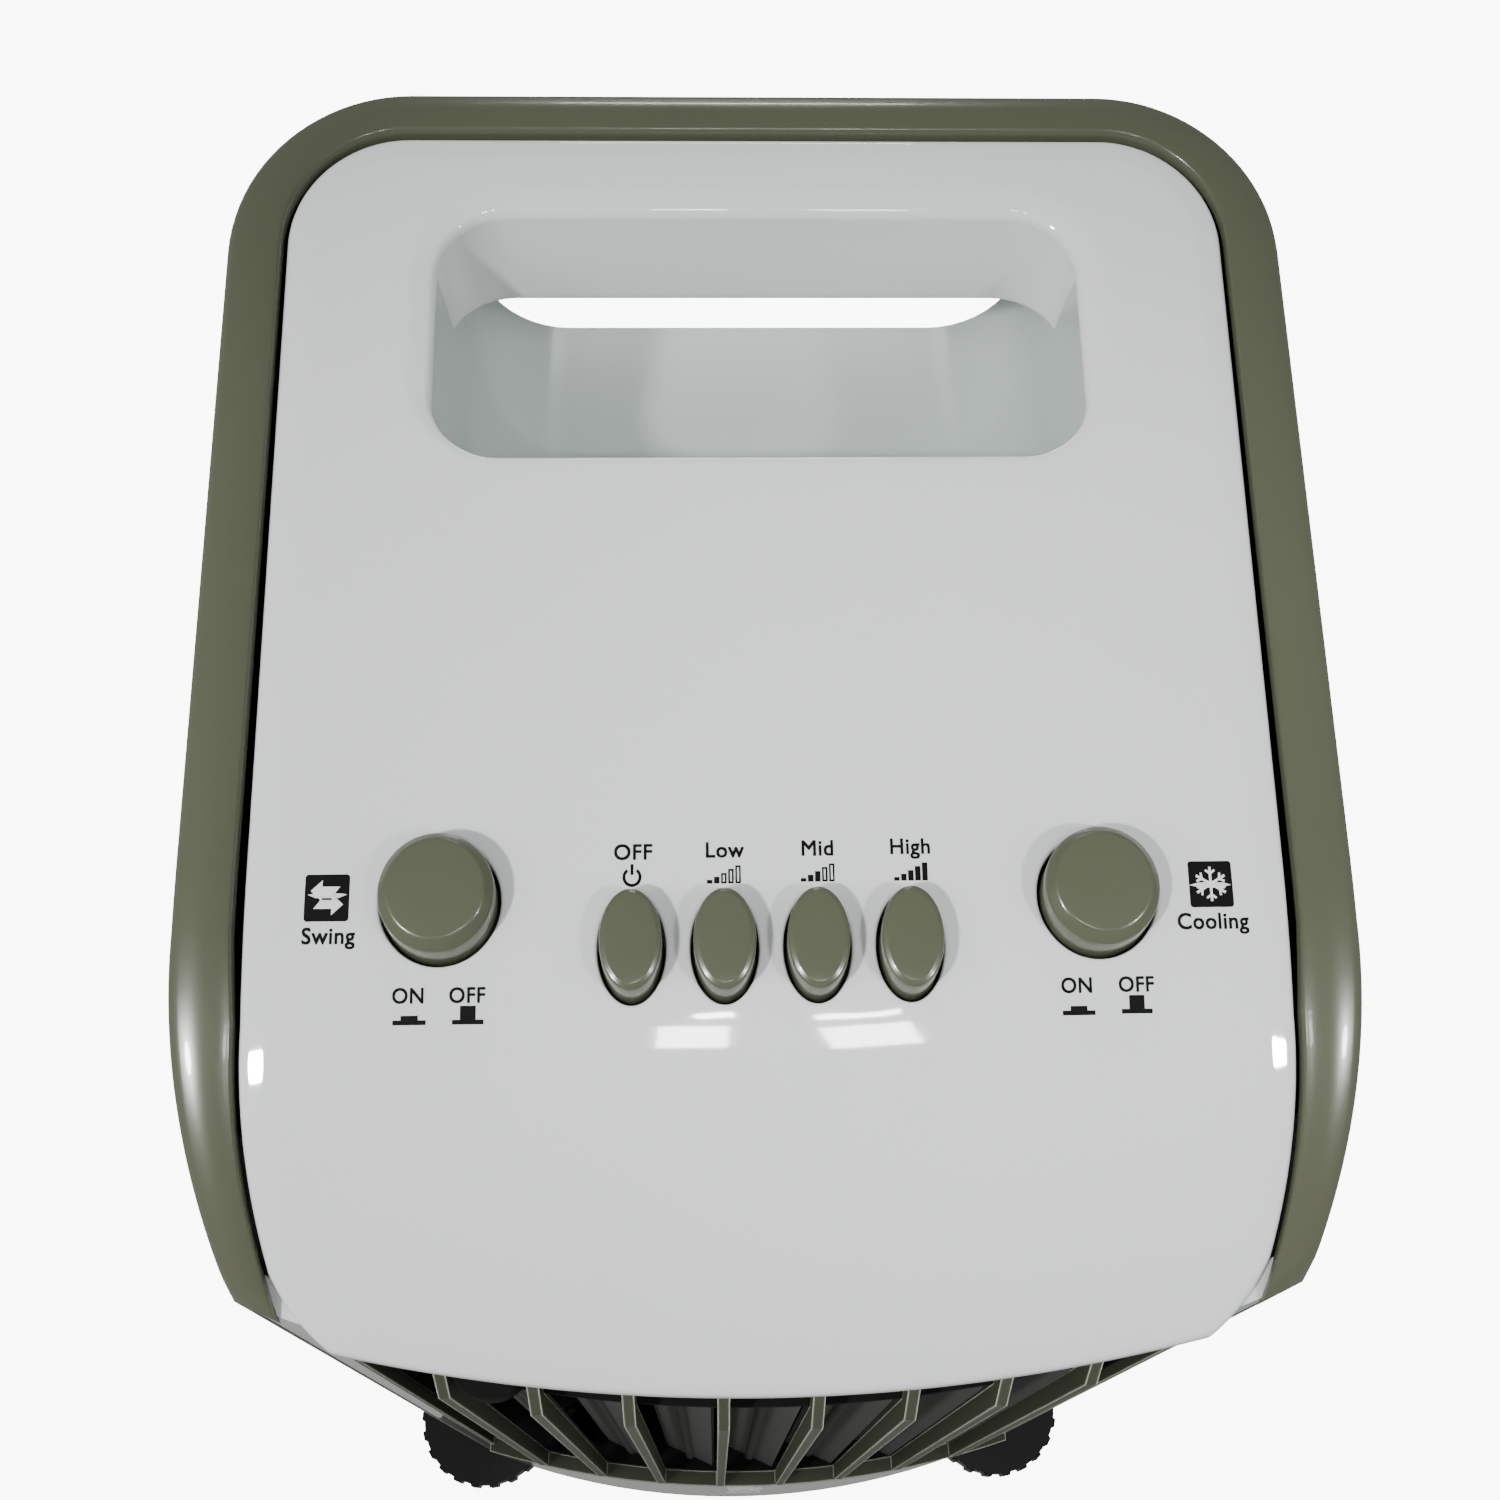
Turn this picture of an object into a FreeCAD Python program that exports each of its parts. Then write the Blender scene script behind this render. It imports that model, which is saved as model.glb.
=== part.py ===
import FreeCAD, Part
import math
import os
import re
import Sketcher

# Portable tower air cooler. Millimetres, +Z up, the outlet grille faces -Y,
# origin on the floor below the middle of the cabinet.

V = FreeCAD.Vector
doc = FreeCAD.newDocument("AirCooler")
sheet = doc.addObject("Spreadsheet::Sheet", "Dims")

DIMENSIONS = {
    # cabinet plan
    "body_half": 135, "body_back": 153.5, "corner_r": 45, "side_front_y": -60,
    "side_arc_r": 175, "nose_half": 121.8, "nose_y": -132.5, "front_arc_r": 363.8,
    "wall": 2.6, "trim_tip": 111.8,
    # roof: a 14 degree slope that rolls down to the visor
    "roof_top": 630, "slope": 14, "roll_y": -46, "roll_r": 241, "visor_y": -153.5,
    # white control panel
    "panel_half": 120, "panel_back": 140.6, "panel_back_r": 30, "panel_t": 3,
    "panel_nose_half": 100, "panel_nose_y": -143.3, "panel_front_r": 505, "panel_side_r": 154,
    "panel_cheek_half": 112.9, "panel_cheek_y": -128, "panel_cheek_r": 40,
    # handle recess through the back of the panel
    "grip_half": 82, "grip_front": 52, "grip_rear": 119, "grip_floor": 545, "bar_low": 589,
    "grip_exit_half": 79, "grip_r": 17, "exit_r": 20,
    # keys and buttons
    "key_pitch": 21, "key_y": -65, "key_w": 14, "key_l": 22,
    "button_x": 74.7, "button_y": -54.5, "button_r": 13, "key_gap": 0.75,
    # outlet grille and duct; the ribs and vanes follow the bow of the front
    "grille_half": 102, "grille_low": 240, "grille_top": 518, "rib_pitch": 22.9, "rib_t": 3,
    "rib_depth": 5.2, "rib_stand": 4.5, "rib_bend": 490, "rib_lean": 10, "duct_half": 100, "duct_back": -60,
    "bow_y": 210.3,
    # swing vanes
    "vane_inset": 6.5, "vane_chord": 19, "vane_rest": 66, "vane_low": 250, "vane_top": 482,
    "vane_pin_r": 2, "crank_r": 8, "link_z": 262,
    # blower
    "wheel_y": 12, "wheel_z": 345, "wheel_r": 68, "wheel_half": 50, "scroll_half": 58,
    "blades": 36, "shaft_r": 4, "motor_r": 36,
    # water circuit
    "tank_half": 112, "tank_low": 66, "tank_top": 174, "tank_front": -112, "tank_wall": 2.5,
    "pad_low": 192, "pad_top": 520, "pad_half": 98, "pad_front": 118, "pad_back": 143,
    "filter_half": 105, "filter_low": 205, "filter_top": 535, "filter_back": 157.8,
    "hose_x": -92, "hose_y": 98, "hose_r": 5,
    # base and casters
    "base_low": 50, "base_top": 62, "caster_x": 128, "caster_y": 114, "wheel_rad": 20,
    "caster_trail": 12, "wing_x": 160,
}
for row, (alias, size) in enumerate(DIMENSIONS.items(), start=1):
    sheet.set("A%d" % row, alias)
    sheet.set("B%d" % row, str(size))
    sheet.setAlias("B%d" % row, alias)
doc.recompute()

parts = {}


def formula(text):
    """An expression on the sheet, from text written with the bare aliases."""
    def alias_or_word(match):
        word = match.group()
        return "Dims." + word if word in DIMENSIONS else word
    return re.sub(r"[a-z_]\w*", alias_or_word, str(text))


def value(text):
    """The number that such a text stands for now."""
    return float(sheet.evalExpression(formula(text)))


def bind(obj, prop, text):
    """Tie one property to the sheet."""
    obj.setExpression(prop, formula(text))


def place(obj, x=0, y=0, z=0):
    for axis, text in zip("xyz", (x, y, z)):
        bind(obj, "Placement.Base." + axis, text)
    return obj


def part(node, obj):
    """Name a finished sub-part: its label is its node and its file."""
    obj.Label = node
    parts[node] = obj
    return obj


def box(name, x, y, z):
    """A block between two corners: x, y and z are (low, high) texts."""
    obj = doc.addObject("Part::Box", name)
    for prop, (low, high) in zip(("Length", "Width", "Height"), (x, y, z)):
        bind(obj, prop, "(%s) - (%s)" % (high, low))
    return place(obj, x[0], y[0], z[0])


ALONG = {"x": FreeCAD.Rotation(V(0, 1, 0), 90), "y": FreeCAD.Rotation(V(1, 0, 0), -90),
         "z": FreeCAD.Rotation()}


def rod(name, radius, length, x, y, z, along="z"):
    """A cylinder that starts at x, y, z and runs along +X, +Y or +Z."""
    obj = doc.addObject("Part::Cylinder", name)
    obj.Placement = FreeCAD.Placement(V(), ALONG[along])
    bind(obj, "Radius", radius)
    bind(obj, "Height", length)
    return place(obj, x, y, z)


def tube(name, outer, inner, length, x, y, z, along="z"):
    skin = rod(name + "_skin", outer, length, x, y, z, along)
    hole = rod(name + "_hole", inner, length, x, y, z, along)
    return cut(name, skin, hole)


def oval(name, half_x, half_y, x, y, low, high):
    """An upright column with an elliptic section, longer along Y than along X."""
    edge = doc.addObject("Part::Ellipse", name + "_edge")
    edge.Placement = FreeCAD.Placement(V(), FreeCAD.Rotation(V(0, 0, 1), 90))
    bind(edge, "MajorRadius", half_y)
    bind(edge, "MinorRadius", half_x)
    place(edge, x, y, low)
    obj = doc.addObject("Part::Extrusion", name)
    obj.Base = edge
    obj.DirMode = "Custom"
    obj.Dir = V(0, 0, 1)
    obj.Solid = True
    bind(obj, "LengthFwd", "(%s) - (%s)" % (high, low))
    return obj


def cut(name, base, *tools):
    obj = doc.addObject("Part::Cut", name)
    obj.Base = base
    obj.Tool = tools[0] if len(tools) == 1 else fuse(name + "_tools", *tools)
    return obj


def fuse(name, *shapes):
    obj = doc.addObject("Part::MultiFuse", name)
    obj.Shapes = list(shapes)
    obj.Refine = True
    return obj


def common(name, *shapes):
    obj = doc.addObject("Part::MultiCommon", name)
    obj.Shapes = list(shapes)
    return obj


PLANES = {"xy": FreeCAD.Rotation(), "yz": FreeCAD.Rotation(V(1, 1, 1), 120),
          "xz": FreeCAD.Rotation(V(1, 0, 0), 90)}
NORMALS = {"xy": V(0, 0, 1), "yz": V(1, 0, 0), "xz": V(0, -1, 0)}


def arc_between(start, end, radius):
    """The arc from start to end; it turns left for a positive radius, right for a negative one."""
    chord = end - start
    height = math.sqrt(max(radius ** 2 - chord.Length ** 2 / 4, 0))
    left = V(-chord.y, chord.x, 0).normalize()
    centre = (start + end) / 2 + left * (height if radius > 0 else -height)
    first, last = (start, end) if radius > 0 else (end, start)
    angles = [math.atan2(p.y - centre.y, p.x - centre.x) for p in (first, last)]
    circle = Part.Circle(centre, V(0, 0, 1), abs(radius))
    return Part.ArcOfCircle(circle, angles[0], angles[1])


def sketch(name, plane, path):
    """A closed outline. Each point is (u, v, radius of the arc to the next point, 0 if straight).

    A half circle has a level chord, so its centre is held at the chord's height instead of by its radius.
    """
    obj = doc.addObject("Sketcher::SketchObject", name)
    obj.Placement = FreeCAD.Placement(V(), PLANES[plane])
    corners = [V(value(u), value(v), 0) for u, v, _ in path]
    for index, (u, v, radius) in enumerate(path):
        start, end = corners[index], corners[(index + 1) % len(path)]
        bend = value(radius)
        edge = Part.LineSegment(start, end) if bend == 0 else arc_between(start, end, bend)
        obj.addGeometry(edge, False)
    starts = [2 if value(radius) < 0 else 1 for _, _, radius in path]
    for index, (u, v, radius) in enumerate(path):
        after = (index + 1) % len(path)
        obj.addConstraint(Sketcher.Constraint("Coincident", index, 3 - starts[index], after, starts[after]))
        for kind, text, now in (("DistanceX", u, corners[index].x), ("DistanceY", v, corners[index].y)):
            made = obj.addConstraint(Sketcher.Constraint(kind, -1, 1, index, starts[index], now))
            bind(obj, "Constraints[%d]" % made, text)
        chord = (corners[after] - corners[index]).Length
        half_circle = abs(chord - 2 * abs(value(radius))) < 1e-6
        if half_circle:
            made = obj.addConstraint(Sketcher.Constraint("DistanceY", -1, 1, index, 3, corners[index].y))
            bind(obj, "Constraints[%d]" % made, v)
        elif value(radius) != 0:
            made = obj.addConstraint(Sketcher.Constraint("Radius", index, abs(value(radius))))
            bind(obj, "Constraints[%d]" % made, "abs(%s)" % radius)
    return obj


def prism(name, plane, path, low, high):
    """An outline pulled along its plane's axis (Z for xy, X for yz, Y for xz) from low to high."""
    obj = doc.addObject("Part::Extrusion", name)
    obj.Base = sketch(name + "_outline", plane, path)
    obj.DirMode = "Custom"
    obj.Dir = NORMALS[plane]
    obj.Solid = True
    if plane == "xz":
        bind(obj, "LengthFwd", "-(%s)" % low)
        bind(obj, "LengthRev", high)
    else:
        bind(obj, "LengthFwd", high)
        bind(obj, "LengthRev", "-(%s)" % low)
    return obj


def rectangle(half_u, low_v, high_v):
    return [("-(%s)" % half_u, low_v, 0), (half_u, low_v, 0), (half_u, high_v, 0),
            ("-(%s)" % half_u, high_v, 0)]


def rounded(half_u, low_v, high_v, radius):
    """A rectangle with round corners."""
    left, right = "-(%s)" % half_u, half_u
    near_left, near_right = "%s + %s" % (left, radius), "%s - %s" % (right, radius)
    above, below = "%s + %s" % (low_v, radius), "%s - %s" % (high_v, radius)
    return [(near_left, low_v, 0), (near_right, low_v, radius), (right, above, 0), (right, below, radius),
            (near_right, high_v, 0), (near_left, high_v, radius), (left, below, 0), (left, above, radius)]


def slot(half_u, half_v, centre_u, centre_v):
    """An upright oval: two straight sides and two round ends."""
    left, right = "%s - %s" % (centre_u, half_u), "%s + %s" % (centre_u, half_u)
    low, high = "%s - (%s - %s)" % (centre_v, half_v, half_u), "%s + (%s - %s)" % (centre_v, half_v, half_u)
    return [(left, low, half_u), (right, low, 0), (right, high, half_u), (left, high, 0)]


def cabinet_path(inset):
    """The cabinet in plan, moved in by inset: straight flanks, round back corners, bowed nose."""
    side = "body_half - %s" % inset
    back = "body_back - %s" % inset
    round_r = "corner_r - %s" % inset
    turn_x, turn_y = "body_half - corner_r", "body_back - corner_r"
    nose_x, nose_y = "nose_half - %s" % inset, "nose_y + %s" % inset
    return [(side, "side_front_y", 0), (side, turn_y, round_r), (turn_x, back, 0),
            ("-(%s)" % turn_x, back, round_r), ("-(%s)" % side, turn_y, 0),
            ("-(%s)" % side, "side_front_y", "side_arc_r"), ("-(%s)" % nose_x, nose_y, "front_arc_r"),
            (nose_x, nose_y, "side_arc_r")]


def panel_path(inset):
    """The white panel in plan: it narrows a little to the front and ends in the bowed visor."""
    side, back = "panel_half - %s" % inset, "panel_back - %s" % inset
    waist = "panel_half - 1.2 - %s" % inset
    round_r = "panel_back_r - %s" % inset
    turn_x, turn_y = "panel_half - panel_back_r", "panel_back - panel_back_r"
    nose_x, nose_y = "panel_nose_half - %s" % inset, "panel_nose_y + %s" % inset
    cheek = "panel_cheek_half - %s" % inset
    return [(waist, "-80", 0), (side, turn_y, round_r), (turn_x, back, 0),
            ("-(%s)" % turn_x, back, round_r), ("-(%s)" % side, turn_y, 0),
            ("-(%s)" % waist, "-80", "panel_side_r"), ("-(%s)" % cheek, "panel_cheek_y", "panel_cheek_r"),
            ("-(%s)" % nose_x, nose_y, "panel_front_r"), (nose_x, nose_y, "panel_cheek_r"),
            (cheek, "panel_cheek_y", "panel_side_r")]


def roof_z(y):
    """Height of the sloped, flat part of the roof at y."""
    return "roof_top - (body_back - (%s)) * tan(slope * 1deg)" % y


# The rolled front falls from the end of the slope to the visor.
ROLL_TOP = roof_z("roll_y")
SINE = "(sin(slope * 1deg) + (roll_y - visor_y) / roll_r)"
VISOR_Z = "(%s) - roll_r * (cos(slope * 1deg) - sqrt(1 - %s ^ 2))" % (ROLL_TOP, SINE)
TAIL = "(roll_r - 30)"


def under_roof(name, drop, half="200"):
    """Everything below the roof lowered by drop."""
    top = "(%s) - (%s)"
    path = [("200", "0", 0), ("200", top % (roof_z("200"), drop), 0),
            ("roll_y", top % (ROLL_TOP, drop), "roll_r"),
            ("visor_y", top % (VISOR_Z, drop), 0), ("-200", top % ("(%s) - 44" % VISOR_Z, drop), 0),
            ("-200", "0", 0)]
    return prism(name, "yz", path, "-(%s)" % half, half)


# --- cabinet shells -------------------------------------------------------

def rear_shell():
    """Olive U of flanks and back, with the trim band that frames the panel."""
    ring = cut("flank_ring", prism("flank_out", "xy", cabinet_path("0"), "base_top", "660"),
               prism("flank_in", "xy", cabinet_path("wall"), "base_top - 1", "661"))
    flanks = common("flanks", ring, under_roof("flank_roof", "0"))
    collar = cut("trim_ring", prism("trim_out", "xy", cabinet_path("0"), "480", "660"),
                 prism("trim_in", "xy", panel_path("-0.8"), "479", "661"))
    band = cut("trim_band", common("trim_top", collar, under_roof("trim_roof", "0")),
               under_roof("trim_under", "3"))
    front = box("shell_front", ("-nose_half + 0.6", "nose_half - 0.6"), ("-200", "-100"), ("0", "700"))
    tip = box("trim_front", ("-trim_tip", "trim_tip"), ("-200", "-100"), ("0", "700"))
    body = fuse("shell_body", cut("flank_walls", flanks, front), cut("trim_ends", band, tip))
    exit_hole = prism("grip_exit", "xz", rounded("grip_exit_half", "grip_floor", "bar_low", "exit_r"),
                      "100", "170")
    pad_hole = prism("pad_hole", "xz", rectangle("filter_half - 6", "filter_low + 6", "filter_top - 6"),
                     "110", "170")
    tank_hole = prism("tank_hole", "xz", rectangle("tank_half + 0.8", "base_top - 1", "tank_top + 9.5"),
                      "100", "170")
    gland_hole = rod("gland_hole", "7.1", "60", "80", "120", "194", "y")
    return part("rear_shell", cut("RearShell", body, exit_hole, pad_hole, tank_hole, gland_hole))


def front_shell():
    """White front: bowed face round the grille, and two returns inside the flanks."""
    face = cut("face_ring", prism("face_out", "xy", cabinet_path("0"), "base_top", "540"),
               prism("face_in", "xy", cabinet_path("3"), "base_top - 1", "541"))
    face_zone = box("face_zone", ("-nose_half + 1", "nose_half - 1"), ("-200", "-120"), ("0", "700"))
    returns = cut("return_ring", prism("return_out", "xy", cabinet_path("3"), "base_top", "540"),
                  prism("return_in", "xy", cabinet_path("5.5"), "base_top - 1", "541"))
    return_zone = box("return_zone", ("-200", "200"), ("-200", "-95"), ("0", "700"))
    body = fuse("front_body", common("face", face, face_zone), common("returns", returns, return_zone))
    low = common("front_low", body, under_roof("front_roof", "4"))
    opening = prism("grille_hole", "xz", rectangle("grille_half", "grille_low", "600"), "-170", "-100")
    window = prism("window_hole", "xz", rectangle("8", "90", "170"), "-170", "-120")
    return part("front_shell", cut("FrontShell", low, opening, window))


def top_panel():
    """White panel with the handle recess moulded in."""
    plate = common("panel_plate", prism("panel_out", "xy", panel_path("0"), "480", "660"),
                   under_roof("panel_roof", "0"))
    skin = cut("panel_skin", plate, under_roof("panel_under", "panel_t"))
    mouth = prism("grip_mouth", "xy", rounded("grip_half", "grip_front", "grip_rear", "grip_r"),
                  "grip_floor", "700")
    cup = prism("cup_out", "xy", rounded("grip_half + 2.6", "grip_front - 2.6", "grip_rear + 2.6",
                                         "grip_r + 2.6"),
                "grip_floor - 2.6", "640")
    sleeve = prism("exit_out", "xz", rounded("grip_exit_half + 2.6", "grip_floor - 2.6", "bar_low + 2.6",
                                             "exit_r + 2.6"),
                   "grip_rear - 12", "150.4")
    passage = prism("exit_in", "xz", rounded("grip_exit_half", "grip_floor", "bar_low", "exit_r"),
                    "grip_rear - 30", "160")
    holes = [oval("key_hole_%d" % index, "key_w / 2 + key_gap", "key_l / 2 + key_gap",
                  "key_pitch * %s" % step,
                  "key_y", "400", "700") for index, step in enumerate(KEY_STEPS)]
    holes += [rod("button_hole_%d" % side, "button_r + key_gap", "300", "button_x * %d" % side, "button_y",
                  "400")
              for side in (-1, 1)]
    solid = fuse("panel_solid", skin, common("cup_low", cup, under_roof("cup_roof", "1")), sleeve)
    return part("top_panel", cut("TopPanel", solid, mouth, passage, *holes))


KEY_STEPS = (-1.5, -0.5, 0.5, 1.5)
KEY_NAMES = ("off", "low", "mid", "high")
KEY_DECK = "%s - 42" % roof_z("key_y")
BUTTON_DECK = "%s - 42" % roof_z("button_y")


def cap_top(name, y, rise):
    """Everything below a plane parallel to the slope, rise above the roof."""
    path = [("200", "0", 0), ("200", "%s + %s" % (roof_z("200"), rise), 0),
            ("-200", "%s + %s" % (roof_z("-200"), rise), 0), ("-200", "0", 0)]
    return prism(name, "yz", path, "-200", "200")


def keys():
    """Four oval push keys and two round push buttons; each has a stem down to its switch."""
    for name, step in zip(KEY_NAMES, KEY_STEPS):
        centre = "key_pitch * %s" % step
        column = oval(name + "_column", "key_w / 2", "key_l / 2", centre, "key_y", "%s + 26" % KEY_DECK,
                      "640")
        cap = common(name + "_cap", column, cap_top(name + "_slope", "key_y", "7"))
        stem = box(name + "_stem", ("%s - 3" % centre, "%s + 3" % centre), ("key_y - 3", "key_y + 3"),
                   ("%s + 5" % KEY_DECK, "%s + 27" % KEY_DECK))
        part("key_" + name, fuse("Key_" + name, cap, stem))
    for name, side in (("swing", -1), ("cooling", 1)):
        centre = "button_x * %d" % side
        column = rod(name + "_column", "button_r", "200", centre, "button_y", "%s + 28" % BUTTON_DECK)
        cap = common(name + "_cap", column, cap_top(name + "_slope", "button_y", "8"))
        stem = rod(name + "_stem", "3", "25", centre, "button_y", "%s + 4.5" % BUTTON_DECK)
        part(name + "_button", fuse("Button_" + name, cap, stem))
        part(name + "_spring", spring("Spring_" + name, "5.5", "0.6", "22.5", 5, centre, "button_y",
                                      "%s + 4.7" % BUTTON_DECK))


def spring(name, radius, wire, height, turns, x, y, z):
    """A coil spring round a stem."""
    coil = doc.addObject("Part::Helix", name + "_coil")
    bind(coil, "Radius", radius)
    bind(coil, "Height", "%s - 2 * %s" % (height, wire))
    bind(coil, "Pitch", "(%s - 2 * %s) / %d" % (height, wire, turns))
    section = doc.addObject("Part::Circle", name + "_wire")
    section.Placement = FreeCAD.Placement(V(), FreeCAD.Rotation(V(1, 0, 0), 90))
    bind(section, "Radius", wire)
    place(section, radius, "0", "0")
    body = doc.addObject("Part::Sweep", name)
    body.Sections = [section]
    body.Spine = (coil, [])
    body.Solid = True
    body.Frenet = True
    return place(body, x, y, "%s + %s" % (z, wire))


def switches():
    """Bracket under the panel, with the key switch bank and the two push switches."""
    deck = box("deck", ("-100", "100"), ("-84", "-34"), ("%s - 18.5" % KEY_DECK, "%s - 16" % KEY_DECK))
    legs = [box("deck_leg_%d" % side, ("%d * 98.5 - 1.5" % side, "%d * 98.5 + 1.5" % side), ("-84", "-34"),
                ("%s - 17" % KEY_DECK, "%s + 30" % KEY_DECK)) for side in (-1, 1)]
    part("switch_bracket", fuse("SwitchBracket", deck, *legs))
    bank = box("bank_body", ("-44", "44"), ("key_y - 12", "key_y + 12"), ("%s - 16" % KEY_DECK, KEY_DECK))
    collars = [box("bank_collar_%d" % index, ("key_pitch * %s - 5" % step, "key_pitch * %s + 5" % step),
                   ("key_y - 5", "key_y + 5"), ("%s - 1" % KEY_DECK, "%s + 0.5" % KEY_DECK))
               for index, step in enumerate(KEY_STEPS)]
    part("key_switch_bank", fuse("KeySwitchBank", bank, *collars))
    for name, side in (("swing", -1), ("cooling", 1)):
        centre = "button_x * %d" % side
        body = box(name + "_switch_body", ("%s - 9" % centre, "%s + 9" % centre),
                   ("button_y - 9", "button_y + 9"),
                   ("%s - 16" % KEY_DECK, BUTTON_DECK))
        guide = tube(name + "_guide", "8", "3.2", "4.5", centre, "button_y", BUTTON_DECK)
        part(name + "_switch", fuse(name + "_switch_solid", body, guide))


# --- outlet -----------------------------------------------------------------

def bow(inset, x):
    """Y of the bowed front at x, moved in by inset."""
    return "bow_y - sqrt((front_arc_r - (%s)) ^ 2 - (%s) ^ 2)" % (inset, x)


def bowed(name, outer, inner, low, high, half):
    """A strip that follows the bow of the front between two insets."""
    ring = tube(name + "_ring", "front_arc_r - (%s)" % outer, "front_arc_r - (%s)" % inner,
                "%s - (%s)" % (high, low),
                "0", "bow_y", low)
    return common(name, ring, box(name + "_zone", ("-(%s)" % half, half), ("-200", "-100"), ("0", "700")))


RIB_STEPS = (-3.5, -2.5, -1.5, -0.5, 0.5, 1.5, 2.5, 3.5)


def front_grille():
    """Eight upright ribs that lean back at the top, held by two bowed rails and two side stiles."""
    ribs = []
    for index, step in enumerate(RIB_STEPS):
        centre = "rib_pitch * %s" % step
        nose = bow("-rib_stand", centre)
        path = [("%s + rib_depth" % nose, "grille_low + 2", 0), ("%s + 1.5" % nose, "grille_low + 2", 0),
                (nose, "grille_low + 5", 0), (nose, "rib_bend", 0),
                ("%s + rib_lean" % nose, "grille_top - 3.5", 0),
                ("%s + rib_lean + rib_depth" % nose, "grille_top - 3.5", 0),
                ("%s + rib_depth" % nose, "rib_bend", 0)]
        ribs.append(prism("rib_%d" % index, "yz", path, "%s - rib_t / 2" % centre, "%s + rib_t / 2" % centre))
    foot = bowed("grille_foot", "-rib_stand", "rib_depth - rib_stand", "grille_low + 0.5", "grille_low + 2.9",
                 "grille_half - 0.4")
    head = bowed("grille_head", "rib_lean - rib_stand", "rib_lean - rib_stand + rib_depth",
                 "grille_top - 3.9",
                 "grille_top - 2", "grille_half - 0.4")
    stiles = [box("grille_stile_%d" % (side + 1), sorted(("%d * (grille_half - 1.7)" % side,
                                                          "%d * (grille_half - 0.4)" % side), key=value),
                  ("-141", "-131.6"), ("grille_low + 0.5", "grille_top - 2")) for side in (-1, 1)]
    part("front_grille", fuse("FrontGrille", foot, head, *stiles, *ribs))


def loft(name, half_a, low_a, high_a, y_a, half_b, low_b, high_b, y_b):
    """A straight-sided funnel along Y between two rectangles."""
    ends = []
    for tag, half, low, high, y in (("a", half_a, low_a, high_a, y_a), ("b", half_b, low_b, high_b, y_b)):
        end = sketch("%s_%s" % (name, tag), "xz", rectangle(half, low, high))
        bind(end, "Placement.Base.y", y)
        ends.append(end)
    obj = doc.addObject("Part::Loft", name)
    obj.Sections = ends
    obj.Solid = True
    obj.Ruled = True
    return obj


VANE_STEPS = (-3, -2, -1, 0, 1, 2, 3)


def outlet_duct():
    """Black box behind the grille that flares out from the blower and carries the vane pins."""
    low, high, front = "grille_low + 3", "vane_top + 5", "-158"
    outer = fuse("duct_out", box("duct_box_out", ("-duct_half", "duct_half"), (front, "duct_back"),
                                 (low, high)),
                 loft("duct_funnel_out", "duct_half", low, high, "duct_back", "scroll_half", "wheel_z - 83",
                      "wheel_z + 107", "-38"))
    inner = fuse("duct_in", box("duct_box_in", ("-duct_half + 2.5", "duct_half - 2.5"),
                                ("%s - 1" % front, "duct_back"),
                                ("%s + 2.5" % low, "%s - 2.5" % high)),
                 loft("duct_funnel_in", "duct_half - 2.5", "%s + 2.5" % low, "%s - 2.5" % high, "duct_back",
                      "scroll_half - 2.5", "wheel_z - 80.5", "wheel_z + 104.5", "-38"))
    pins = [rod("pin_hole_%d" % index, "vane_pin_r + 0.06", "400", "rib_pitch * %s" % step,
                bow("vane_inset", "rib_pitch * %s" % step), "200") for index, step in enumerate(VANE_STEPS)]
    bowed_front = rod("duct_bow", "front_arc_r - 1.2", "700", "0", "bow_y", "0")
    part("outlet_duct", cut("OutletDuct", common("duct_bowed", outer, bowed_front), inner, *pins))


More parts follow.
